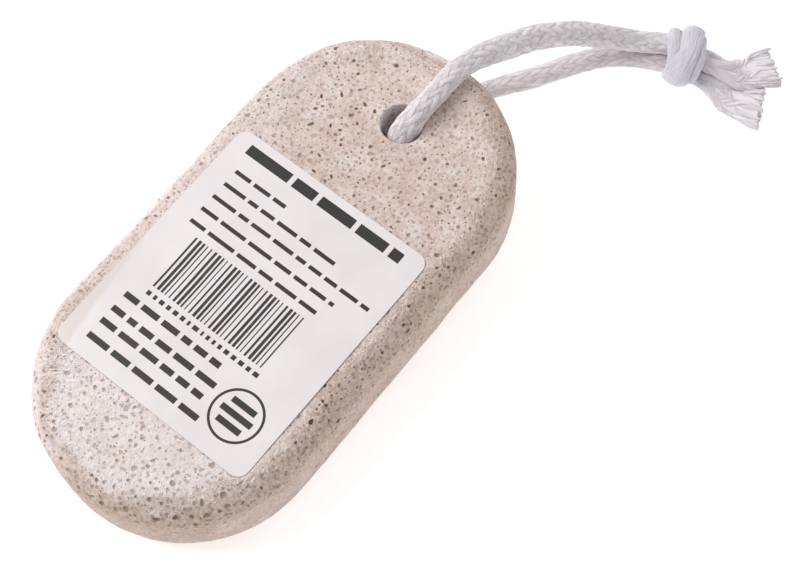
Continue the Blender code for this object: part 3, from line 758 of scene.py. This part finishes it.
def outline_at(around, inset):
    """Plan of the stone and its outward direction, `around` along the full outline and `inset` in from
    it: straight sides, and ends where |x|^p + |y|^p = r^p, drawn as x = r cos^(2/p), y = r sin^(2/p)."""
    run = 2 * STRAIGHT
    half_lap = LAP / 2
    hand = np.where(around % LAP < half_lap, 1.0, -1.0)
    lap = around % half_lap
    on_side = lap < run
    angle = np.clip((lap - run) / HALF_WIDTH, 0.0, math.pi)
    cosine, sine = np.cos(angle), np.sin(angle)
    reach = HALF_WIDTH - inset
    power = 2.0 / END_SQUARENESS
    x = np.where(on_side, reach, np.sign(cosine) * np.abs(cosine) ** power * reach)
    y = np.where(on_side, lap - STRAIGHT, np.abs(sine) ** power * reach + STRAIGHT)
    slope = 2.0 * (END_SQUARENESS - 1.0) / END_SQUARENESS
    nx = np.where(on_side, 1.0, np.sign(cosine) * np.abs(cosine) ** slope)
    ny = np.where(on_side, 0.0, np.abs(sine) ** slope)
    size = np.hypot(nx, ny)
    return hand * x, hand * y, hand * nx / size, hand * ny / size


def side_profile(down):
    """(inset, height, lean) `down` along the side: a quarter arc, a wall and a quarter arc."""
    upper = np.clip(down, 0.0, TOP_ARC) / TOP_EDGE_RADIUS
    lower = np.clip(down - TOP_ARC - WALL, 0.0, BOTTOM_ARC) / BOTTOM_EDGE_RADIUS
    wall = np.clip(down - TOP_ARC, 0.0, WALL)
    inset = TOP_EDGE_RADIUS * (1.0 - np.sin(upper)) + BOTTOM_EDGE_RADIUS * (1.0 - np.cos(lower))
    height = (STONE_THICKNESS - TOP_EDGE_RADIUS * (1.0 - np.cos(upper)) - wall
              - BOTTOM_EDGE_RADIUS * np.sin(lower))
    return inset, height, np.cos(upper) - np.sin(lower)


def on_side_band(flat):
    """Band chart (around, down) to points and outward normals."""
    inset, height, lean = side_profile(flat[:, 1])
    x, y, nx, ny = outline_at(flat[:, 0], inset)
    level = np.sqrt(np.maximum(1.0 - lean ** 2, 0.0))
    return np.stack((x, y, height), axis=1), np.stack((nx * level, ny * level, lean), axis=1)


def from_spine(x, y):
    """Distance from the stone's middle line, which ends at the centres of the rounded ends."""
    return np.hypot(x, np.maximum(np.abs(y) - STRAIGHT, 0.0))


def on_skin(spots):
    """Chart rows, (x, y, depth, cavity, gloom), for places on the unbroken skin."""
    return np.column_stack((spots, np.zeros((len(spots), 3))))


def scatter(draw, count, low, high, allowed, growth, placed=()):
    """Pits on a flat chart, each with its own space: rows of (x, y, radius, stretch, heading, openness). The
    `placed` ones come first, then random ones from the largest down; `growth` makes some places coarser."""
    spots = draw.uniform(low, high, (count, 2))
    radii = np.minimum(PIT_LEAST + draw.gamma(1.5, PIT_SPREAD, count), PIT_MOST) * growth(spots)
    sown = np.column_stack((spots, radii, 1.0 + 0.8 * draw.random(count) ** 2,
                            draw.uniform(0.0, math.pi, count), draw.random(count) ** 1.2))
    rows = np.concatenate((np.array(placed).reshape(-1, 6), sown[np.argsort(-radii)]))
    reach = rows[:, 2] * np.sqrt(rows[:, 3]) * PIT_SWELL
    fits = allowed(rows[:, :2], reach)
    rows, reach = rows[fits], reach[fits]
    kept = np.zeros(len(rows), dtype=bool)
    for i in range(len(rows)):
        gaps = np.hypot(*(rows[kept, :2] - rows[i, :2]).T) - reach[kept]
        kept[i] = not np.any(gaps < reach[i] + PIT_GAP)
    return rows[kept]


def pit_points(draw, pits, openness):
    """Rings of points for every pit: (x, y, depth, cavity, gloom). `openness` scales how deep a pit is at
    its place; shallow ones are pores that flour has filled. A ring is an ellipse with a wobble of two and
    three waves; small pits have a rim and a floor point, larger ones rings between."""
    spots = pits[:, :2]
    radii, stretch, heading, clearness = pits[:, 2:].T
    rows = []
    for low, high, rings in (
        (0.0, 0.34, ((1.0, 0.0, 6), (0.0, 0.9, 1))),
        (0.34, 0.52, ((1.0, 0.0, 9), (0.62, 0.72, 5), (0.0, 1.0, 1))),
        (0.52, 9.0, ((1.0, 0.0, 13), (0.78, 0.60, 9), (0.42, 0.92, 5), (0.0, 1.0, 1))),
    ):
        pick = (radii >= low) & (radii < high)
        count = int(pick.sum())
        radius, long = radii[pick][:, None], stretch[pick][:, None]
        clear = (clearness * openness(spots))[pick][:, None]
        depth = radius * (0.16 + 0.85 * clear)
        wobble = draw.uniform(0.0, math.tau, (2, count, 1))
        lean = heading[pick][:, None]
        for share, sunk, corners in rings:
            angle = circle(corners)[None] + wobble[0]
            swell = 1.0 + 0.13 * np.cos(2 * angle + wobble[1]) + 0.11 * np.cos(3 * angle + wobble[0])
            u = share * radius * swell * np.sqrt(long) * np.cos(angle)
            v = share * radius * swell / np.sqrt(long) * np.sin(angle)
            x = spots[pick][:, :1] + u * np.cos(lean) - v * np.sin(lean)
            y = spots[pick][:, 1:] + u * np.sin(lean) + v * np.cos(lean)
            row = np.broadcast_arrays(x, y, depth * sunk, sunk, clear)
            rows.append(np.stack(row, axis=-1).reshape(-1, 5))
    return np.concatenate(rows)


def skin_points(draw, low, high, pits, allowed):
    """Chart rows of a jittered grid on the skin between the pits."""
    columns = [np.arange(a + SKIN_SPACING / 2, b, SKIN_SPACING) for a, b in zip(low, high)]
    grid = np.stack(np.meshgrid(*columns, indexing="ij"), axis=-1).reshape(-1, 2)
    grid = grid + draw.uniform(-0.38, 0.38, grid.shape) * SKIN_SPACING
    grid = grid[allowed(grid, np.full(len(grid), SKIN_SPACING * 0.55))]
    spots, reach = pits[:, :2], pits[:, 2] * np.sqrt(pits[:, 3]) * PIT_SWELL
    free = np.ones(len(grid), dtype=bool)
    block = 800                                     # rows at a time, to spare memory
    for start in range(0, len(grid), block):
        some = grid[start:start + block]
        gaps = np.hypot(some[:, None, 0] - spots[None, :, 0], some[:, None, 1] - spots[None, :, 1])
        free[start:start + block] = np.all(gaps > reach[None] + PIT_GAP, axis=1)
    return on_skin(grid[free])


def triangulate(flat, closed_rings, drop=None):
    """Delaunay triangles over a chart's points, with each ring of `closed_rings` kept as edges; triangles
    whose middle `drop` says so are left out."""
    edges = []
    for first, last in closed_rings:
        ring = np.arange(first, last)
        edges += np.column_stack((ring, np.roll(ring, -1))).tolist()
    _, _, faces, source, _, _ = delaunay_2d_cdt([Vector(p) for p in flat.tolist()], edges, [], 0, 1e-7)
    index = np.array([s[0] for s in source])
    faces = index[np.array(faces)]
    if drop is not None:
        faces = faces[~drop(flat[faces].mean(axis=1))]
    return faces


def inside_face(inset):
    """Test for a flat face's charts: inside its rim by a margin, clear of the hole."""
    def allowed(spots, margin):
        x, y = spots.T
        from_hole = np.hypot(x - HOLE_X, y - HOLE_Y)
        return ((from_spine(x, y) < HALF_WIDTH - inset - margin - RIM_CLEARANCE)
                & (from_hole > HOLE_RADIUS + HOLE_MOUTH + margin + 0.1))
    return allowed


def off_label(allowed):
    """The same test, and clear of the middle of the label, where the skin can't be seen."""
    def test(spots, margin):
        covered = ((np.abs(spots[:, 0] - LABEL_X) < LABEL_WIDTH / 2 - LABEL_TUCK)
                   & (np.abs(spots[:, 1] - LABEL_Y) < LABEL_LENGTH / 2 - LABEL_TUCK))
        return allowed(spots, margin) & ~covered
    return test


def skin_relief(points):
    """How far the skin stands off the sawn and tumbled shape: broad wear, lumps and broken froth, rougher
    where the top face turns over into the side, but not where the label was stuck."""
    x, y, z = points.T
    from_edge = HALF_WIDTH - from_spine(x, y)
    from_label = np.maximum(np.abs(x - LABEL_X) - LABEL_WIDTH / 2, np.abs(y - LABEL_Y) - LABEL_LENGTH / 2)
    rim = np.exp(-((from_edge - 3.4) / 1.8) ** 2) * (z > STONE_THICKNESS / 2) * smooth_step(from_label / 2.0)
    rim = rim * (1.0 - 0.6 * ramp(x, 8.0, 10.0))
    return (0.16 * value_noise(points, 11.0, 21) + 0.08 * value_noise(points, 3.2, 22)
            + (0.05 + 0.12 * rim) * value_noise(points, 1.4, 23)
            + 0.16 * rim * value_noise(points, 2.6, 24) - 0.12)


def whiteness(points):
    """How much white flour lies on the skin: most on the heel, some along one side, in ragged clouds."""
    heel = ramp(-points[:, 1], 18.0, 22.0)
    flank = 0.35 * ramp(-points[:, 0], 12.0, 10.0)
    clouds = 0.5 + 0.5 * value_noise(points, 6.0, 27)
    return np.clip(0.85 * heel + flank, 0.0, 1.0) * (0.55 + 0.45 * clouds)


def wear(points, down):
    """`down` from the top's rim (below 0 on the face) made ragged, and how brown with rubbed-in dust the
    skin is there: a band along the worn edge, broader towards +X and round the heel, faint towards -X. Round
    the heel the band is darker and reaches further down, and there its brown is partly painted shade."""
    x, y, _ = points.T
    down = down + 0.9 * value_noise(points, 4.0, 26) + 1.6 * value_noise(points, 9.0, 28)
    # Round the heel the band is deepened and carried further down: painted shade on the heel's rounded edge,
    # on top of its dust.
    heel = ramp(-y, 38.0, 8.0)
    inward = 2.2 * ramp(x, 2.0, 14.0)
    inward = inward + 4.8 * ramp(-x, 12.0, 8.0) * ramp(-y, 12.0, 12.0)
    starts = smooth_step((down - 0.3 + inward) / 3.0)
    ends = smooth_step((down - 5.5 - 4.0 * heel) / 4.0)
    faint = ramp(-x, 8.0, 12.0) * ramp(y, -34.0, 16.0)
    return down, starts * (1.0 - (0.5 - 0.2 * heel) * ends) * (0.75 + 0.2 * heel - 0.48 * faint)


# Large open pits, (x, y, radius, stretch, heading, openness): a gouge at the heel's rim, and those that
# stand out near the heel and round the far end.
TOP_PITS = (
    (1.2, -46.8, 0.72, 2.3, 1.45, 1.1), (12.2, -41.8, 0.55, 1.1, 0.3, 0.9),
    (9.2, -44.0, 0.36, 1.1, 0.0, 1.0), (10.7, -44.2, 0.42, 1.2, 1.0, 1.0), (6.0, -46.0, 0.40, 1.3, 0.5, 0.8),
    (-6.5, -44.2, 0.42, 1.4, 2.0, 1.0), (-11.0, -42.2, 0.40, 1.2, 0.6, 0.9),
    (-18.8, 36.5, 0.35, 1.1, 0.2, 0.9), (-12.3, 33.2, 0.48, 1.7, 2.4, 0.8), (-7.6, 34.2, 0.50, 1.8, 2.7, 0.8),
    (-14.3, 28.0, 0.42, 1.1, 0.9, 0.8), (-8.3, 32.5, 0.35, 1.2, 0.4, 0.9), (-10.8, 28.5, 0.42, 1.9, 2.9, 0.3),
    (-16.8, 29.8, 0.30, 1.0, 0.0, 0.9), (-1.3, 28.0, 0.45, 1.3, 1.2, 0.7),
)


# On the side band's chart: a floury ledge over a gouge, and rings (around, down, radius) of silky froth
# that has worn through.
LEDGE = (243.5, 3.0)
RINGS = ((253.5, 3.6, 1.95), (247.0, 4.1, 1.5))
TORN_CORNER = (-16.4, -37.6, 17.5)              # where the froth's skin is torn, at the heel towards -X


def face_growth(flat):
    """Pits are coarser on the heel's half."""
    return 1.0 + 0.12 * ramp(-flat[:, 1], 22.0, 12.0)


def band_growth(flat):
    """Pits are coarser where the worn edge goes round the heel, and finer on the wall."""
    heel = ramp(flat[:, 0], 196.0, 12.0) * (1.0 - ramp(flat[:, 0], 262.0, 8.0))
    return 1.0 + 0.35 * heel * (1.0 - ramp(flat[:, 1], 4.0, 2.5))


def face_openness(flat):
    """Pores are filled with flour on the heel and open towards the hole."""
    return 1.0 - 0.52 * ramp(-flat[:, 1], 16.0, 14.0)


def band_openness(flat):
    """Pores are widest open on the upper worn edge, half filled round the heel, and nearly rubbed shut on
    the wall below and along the side towards -X."""
    heel = ramp(flat[:, 0], 200.0, 15.0) * (1.0 - ramp(flat[:, 0], 262.0, 12.0))
    turned = ramp(flat[:, 0], 125.0, 20.0) * (1.0 - ramp(flat[:, 0], 205.0, 8.0))
    turned = turned * ramp(flat[:, 1], 1.0, 2.0)
    opened = 1.15 - 0.40 * heel - (0.75 - 0.20 * heel) * ramp(flat[:, 1], 6.0, 3.5)
    return opened * (1.0 - 0.55 * turned)


def stone_face(draw, around, height, direction, inset, count):
    """A flat face's chart: its rim, the hole's mouth, its pits, the skin between them and, where the label
    hides it, a plain grid."""
    inside = inside_face(inset)
    allowed = off_label(inside) if direction > 0 else inside
    pits = scatter(draw, count, FACE_LOW, FACE_HIGH, allowed, face_growth, TOP_PITS if direction > 0 else ())
    skin = skin_points(draw, FACE_LOW, FACE_HIGH, pits, allowed)
    hidden = np.zeros((0, 2))
    if direction > 0:
        columns = [np.arange(c - w / 2 + 1.4, c + w / 2 - 1.0, HIDDEN_SPACING)
                   for c, w in ((LABEL_X, LABEL_WIDTH), (LABEL_Y, LABEL_LENGTH))]
        hidden = np.stack(np.meshgrid(*columns, indexing="ij"), axis=-1).reshape(-1, 2)
        hidden = hidden[inside(hidden, np.full(len(hidden), HIDDEN_SPACING / 2))]
    rim = np.column_stack(outline_at(around, inset)[:2])
    turn = circle(HOLE_STEPS)
    mouth = HOLE_RADIUS + HOLE_MOUTH
    mouth_ring = np.column_stack((HOLE_X + mouth * np.cos(turn), HOLE_Y + mouth * np.sin(turn)))
    rings = on_skin(np.concatenate((rim, mouth_ring)))
    rows = np.concatenate((rings, pit_points(draw, pits, face_openness), skin, on_skin(hidden)))
    triangles = triangulate(
        rows[:, :2], ((0, len(rim)), (len(rim), len(rings))),
        lambda middle: np.hypot(middle[:, 0] - HOLE_X, middle[:, 1] - HOLE_Y) < mouth * 0.999)
    places = np.column_stack((rows[:, :2], np.full(len(rows), height)))
    places = places + direction * UP * (skin_relief(places) - rows[:, 2])[:, None]
    from_rim = HALF_WIDTH - inset - from_spine(rows[:, 0], rows[:, 1])
    _, edge = wear(places, -from_rim if direction > 0 else BAND + from_rim)
    return places, triangles, {"cavity": rows[:, 3], "gloom": rows[:, 4], "edge": edge,
                               "silk": 1.0 - ramp(from_rim, 0.0, 3.5), "pale": whiteness(places)}


def stone_band(draw, around, count):
    """The side band's chart: its two long edges repeat the faces' rims, its two short ones each other."""
    levels = np.linspace(0.0, BAND, 38)
    spread = np.append(around, LAP)
    long_edges = [np.column_stack((spread, np.full(len(spread), level))) for level in (0.0, BAND)]
    short_edges = [np.column_stack((np.full(len(levels) - 2, place), levels[1:-1])) for place in (0.0, LAP)]
    border = np.concatenate((*long_edges, *short_edges))

    def inside_band(spots, margin):
        clear = margin + RIM_CLEARANCE
        return ((spots[:, 0] > clear) & (spots[:, 0] < LAP - clear)
                & (spots[:, 1] > clear) & (spots[:, 1] < BAND - clear))

    gouge = ((LEDGE[0], LEDGE[1] + 1.25, 0.62, 2.2, 0.0, 0.9),)
    pits = scatter(draw, count, (0.0, 0.0), (LAP, BAND), inside_band, band_growth, gouge)
    skin = skin_points(draw, (0.0, 0.0), (LAP, BAND), pits, inside_band)
    rows = np.concatenate((on_skin(border), pit_points(draw, pits, band_openness), skin))
    triangles = triangulate(rows[:, :2], ())
    places, normals = on_side_band(rows[:, :2])
    places = places + normals * (skin_relief(places) - rows[:, 2])[:, None]
    down, edge = wear(places, rows[:, 1])
    # The side towards -X and the far end is rubbed paler, down from the edge.
    low = ramp(-places[:, 1], 18.0, 8.0)
    far_side = ramp(-(places[:, 0] - 0.1 * places[:, 1]), -6.0, 12.0)
    far_side = far_side * smooth_step((down - 1.8 - 0.3 * low) / (2.4 - 0.8 * low))
    turned = ramp(-places[:, 0], 12.0, 10.0) * ramp(rows[:, 1], 0.0, 1.5)
    pale = whiteness(places) * (1.0 - 0.88 * ramp(down, 1.5, 4.0)) * (1.0 - 0.6 * turned)
    ledge = np.exp(-((rows[:, 0] - LEDGE[0]) / 1.4) ** 2 - ((rows[:, 1] - LEDGE[1]) / 0.5) ** 2)
    return places, triangles, {
        "cavity": rows[:, 3], "gloom": rows[:, 4],
        "edge": edge * (1.0 - 0.95 * far_side) * (1.0 - ledge),
        "silk": 1.0 - ramp(down, 0.5, 2.0),
        "pale": np.maximum(np.maximum(pale, (0.85 - 0.45 * low) * far_side), ledge),
        "rub": np.maximum(0.85 * ramp(down, 6.0, 3.0), 0.8 * far_side)}


def stone_hole():
    """The hole: a grid carried down round its mouth, down the wall and round its lower mouth. Its wall
    is marked pale, which paints in the light bounced down into the hole.
    """
    quarter = np.linspace(0.0, math.pi / 2, 5)
    mouth = HOLE_RADIUS + HOLE_MOUTH - HOLE_MOUTH * np.sin(quarter)
    fall = HOLE_MOUTH * (1.0 - np.cos(quarter))
    wall = np.linspace(STONE_THICKNESS - HOLE_MOUTH, HOLE_MOUTH, 26)[1:-1]
    radii = np.concatenate((mouth, np.full(len(wall), HOLE_RADIUS), mouth[::-1]))
    heights = np.concatenate((STONE_THICKNESS - fall, wall, fall[::-1]))
    leans = np.concatenate((np.cos(quarter), np.zeros(len(wall)), -np.cos(quarter)[::-1]))
    radius, height, lean, angle = np.broadcast_arrays(
        radii[:, None], heights[:, None], leans[:, None], circle(HOLE_STEPS))
    level = np.sqrt(np.maximum(1.0 - lean ** 2, 0.0))
    places = np.stack((HOLE_X + radius * np.cos(angle), HOLE_Y + radius * np.sin(angle), height), axis=-1)
    normals = np.stack((-level * np.cos(angle), -level * np.sin(angle), lean), axis=-1)
    places, normals = places.reshape(-1, 3), normals.reshape(-1, 3)
    bored = 1.0 - np.abs(normals[:, 2])                   # 1 down the wall, 0 where it meets a face
    rough = skin_relief(places) + 0.12 * bored * value_noise(places, 0.9, 25)
    quads = grid_quads(len(radii), HOLE_STEPS, closed=True)
    triangles = np.concatenate((quads[:, [0, 1, 2]], quads[:, [0, 2, 3]]))
    # Painted bounce light: the wall is whitened as far as it stands upright.
    return places + normals * rough[:, None], triangles, {"pale": bored}


def build_stone(material):
    """The stone: two flat faces, the side band and the hole's wall, sown with pits, each triangulated on a
    flat chart and carried to its place, then welded along their shared rims."""
    draw = np.random.default_rng(31)
    around = np.linspace(0.0, LAP, int(round(LAP / RIM_SPACING)), endpoint=False)
    charts = (
        stone_face(draw, around, height=STONE_THICKNESS, direction=1.0, inset=TOP_EDGE_RADIUS, count=7000),
        stone_face(draw, around, height=0.0, direction=-1.0, inset=BOTTOM_EDGE_RADIUS, count=3000),
        stone_band(draw, around, count=7600), stone_hole())
    points, faces, shift = [], [], 0
    paint = {name: [] for name in STONE_PAINT}
    for places, triangles, values in charts:
        points.append(places)
        faces.append(triangles + shift)
        shift += len(places)
        for name in STONE_PAINT:
            paint[name].append(values.get(name, np.zeros(len(places))))
    places = lay_down(np.concatenate(points))
    places[:, 2] = np.maximum(places[:, 2], 0.0)
    stone = add_piece("pumice_slab", places, np.concatenate(faces).tolist(), material,
                      values={name: np.concatenate(parts) for name, parts in paint.items()})
    bm = bmesh.new()
    bm.from_mesh(stone.data)
    bmesh.ops.remove_doubles(bm, verts=bm.verts, dist=0.002 * MM)
    bmesh.ops.recalc_face_normals(bm, faces=bm.faces)
    bm.to_mesh(stone.data)
    bm.free()
    stone.data.shade_smooth()
    stone.data.set_sharp_from_angle(angle=math.radians(38.0))
    return stone


# ------------------------------------------------------------------ label

LABEL_LIFT = 0.10              # underside of the paper over the skin's mean
PAPER_THICKNESS = 0.1

# Rows of print, plain bars in place of words: (left, right, bottom, top, longest bar, gap), in millimetres
# from the label's middle.
PRINT_ROWS = (
    (-18.2, 17.4, 21.8, 23.9, 11.0, 1.0),
    (-17.1, -5.3, 17.6, 18.4, 6.0, 0.8), (-17.1, 8.7, 14.5, 15.3, 6.0, 0.8),
    (-17.1, 19.0, 11.4, 12.2, 6.0, 0.8), (-17.1, 13.6, 8.3, 9.1, 6.0, 0.8),
    (-17.1, 12.1, 5.3, 6.1, 6.0, 0.8), (-14.0, 11.8, -9.9, -9.0, 1.3, 0.7),
    (-16.8, 6.8, -12.7, -11.5, 5.5, 0.9), (-16.8, 7.2, -16.0, -14.8, 5.5, 0.9),
    (-16.8, 6.7, -18.9, -17.7, 5.5, 0.9), (-16.8, 9.5, -22.3, -21.1, 5.5, 0.9),
)
MARK_CENTRE = (13.55, -17.2)
MARK_RADIUS = 5.05


def printed_bars():
    """Every inked rectangle as (left, right, bottom, top): bars of random length along each row, a field of
    upright stripes whose width swells and shrinks, and three bars inside the ring."""
    draw = np.random.default_rng(17)
    bars = []
    for left, right, bottom, top, longest, gap in PRINT_ROWS:
        place = left
        while place < right - 0.6:
            end = min(place + longest * draw.uniform(0.35, 1.0), right)
            bars.append((place, end, bottom, top))
            place = end + gap
    pitch = 0.92
    for number, place in enumerate(np.arange(-14.0, 11.4, pitch)):
        bars.append((place, place + pitch * (0.46 + 0.22 * math.sin(number * 1.37)), -8.0, 3.7))
    for rise, reach in ((2.1, 2.6), (0.0, 3.4), (-2.1, 2.6)):
        x, y = MARK_CENTRE
        bars.append((x - reach, x + reach, y + rise - 0.6, y + rise + 0.6))
    return np.array(bars)


def build_label(material):
    """The label: a grid laid on the stone's skin and over its worn rim, with grid lines along the edges of
    every printed bar, so that a face is either inked or bare. Rows narrow round the corners."""
    half_width, half_length = LABEL_WIDTH / 2, LABEL_LENGTH / 2
    bars = printed_bars()
    corner = np.linspace(0.0, math.pi / 2, 7)
    tip = half_length - LABEL_CORNER_RADIUS + LABEL_CORNER_RADIUS * np.sin(corner)
    middle = np.linspace(-half_length + LABEL_CORNER_RADIUS, half_length - LABEL_CORNER_RADIUS, 48)
    rows = np.unique(np.round(np.concatenate((-tip, middle, tip, bars[:, 2], bars[:, 3])), 3))
    columns = np.linspace(-half_width, half_width, 40)
    columns = np.unique(np.round(np.concatenate((columns, bars[:, 0], bars[:, 1])), 3)) / half_width
    past = np.maximum(np.abs(rows) - (half_length - LABEL_CORNER_RADIUS), 0.0)
    narrowing = LABEL_CORNER_RADIUS - np.sqrt(np.maximum(LABEL_CORNER_RADIUS ** 2 - past ** 2, 0.0))
    across = columns[None, :] * (half_width - narrowing)[:, None]
    along = rows[:, None] + 0.0 * across
    x = LABEL_X + across * math.cos(LABEL_TURN) - along * math.sin(LABEL_TURN)
    y = LABEL_Y + across * math.sin(LABEL_TURN) + along * math.cos(LABEL_TURN)
    over = np.clip(from_spine(x, y) - (HALF_WIDTH - TOP_EDGE_RADIUS), 0.0, TOP_EDGE_RADIUS)
    drop = TOP_EDGE_RADIUS - np.sqrt(TOP_EDGE_RADIUS ** 2 - over ** 2)
    skin = np.stack((x, y, STONE_THICKNESS - drop), axis=-1)
    lift = LABEL_LIFT + 0.16 * value_noise(skin, 11.0, 21) + 0.035 * value_noise(skin, 3.5, 41)
    places = lay_down(skin + UP * lift[..., None])
    quads = grid_quads(len(rows), len(columns))
    flat = np.stack((across, along), axis=-1).reshape(-1, 2)
    centre = flat[quads].mean(axis=1)[:, None]
    inked = ((centre[..., 0] > bars[:, 0]) & (centre[..., 0] < bars[:, 1])
             & (centre[..., 1] > bars[:, 2]) & (centre[..., 1] < bars[:, 3])).any(axis=1)
    label = add_piece("label_sheet", places.reshape(-1, 3), quads.tolist(), material, flat[quads] / 100.0)
    ink = label.data.attributes.new("ink", "FLOAT", "FACE")
    ink.data.foreach_set("value", inked.astype(np.float32))
    ends = np.empty(2 * len(label.data.edges), dtype=np.int32)
    label.data.edges.foreach_get("vertices", ends)
    row, column = np.divmod(ends.reshape(-1, 2), len(columns))
    cut = ((row == 0).all(axis=1) | (row == len(rows) - 1).all(axis=1)
           | (column == 0).all(axis=1) | (column == len(columns) - 1).all(axis=1))
    sharp = label.data.attributes.new("sharp_edge", "BOOLEAN", "EDGE")           # the cut edge stays crisp
    sharp.data.foreach_set("value", cut)
    thick = label.modifiers.new("paper", "SOLIDIFY")
    thick.thickness = PAPER_THICKNESS * MM
    thick.offset = -1.0
    return label


# ------------------------------------------------------------------ assembly

place_camera()
set_studio()

cotton = cotton_material()
cord, cord_path = build_cord(cotton)
knot = build_knot(cotton)
upper_tail = build_tail("cord_fray_upper", UPPER_TAIL, cotton, 51)
lower_tail = build_tail("cord_fray_lower", LOWER_TAIL, cotton, 52)
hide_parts("cord_loop")
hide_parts("cord_knot")
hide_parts("cord_tail_upper")
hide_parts("cord_tail_lower")

stone = build_stone(pumice_material())
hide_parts("pumice_stone")
label = build_label(paper_material())
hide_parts("label")

for piece, slot in ((cord, "cotton_cord"), (knot, "cotton_cord"), (upper_tail, "cotton_cord"),
                    (lower_tail, "cotton_cord"), (stone, "pumice"), (label, "label_paper")):
    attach(piece, "root")
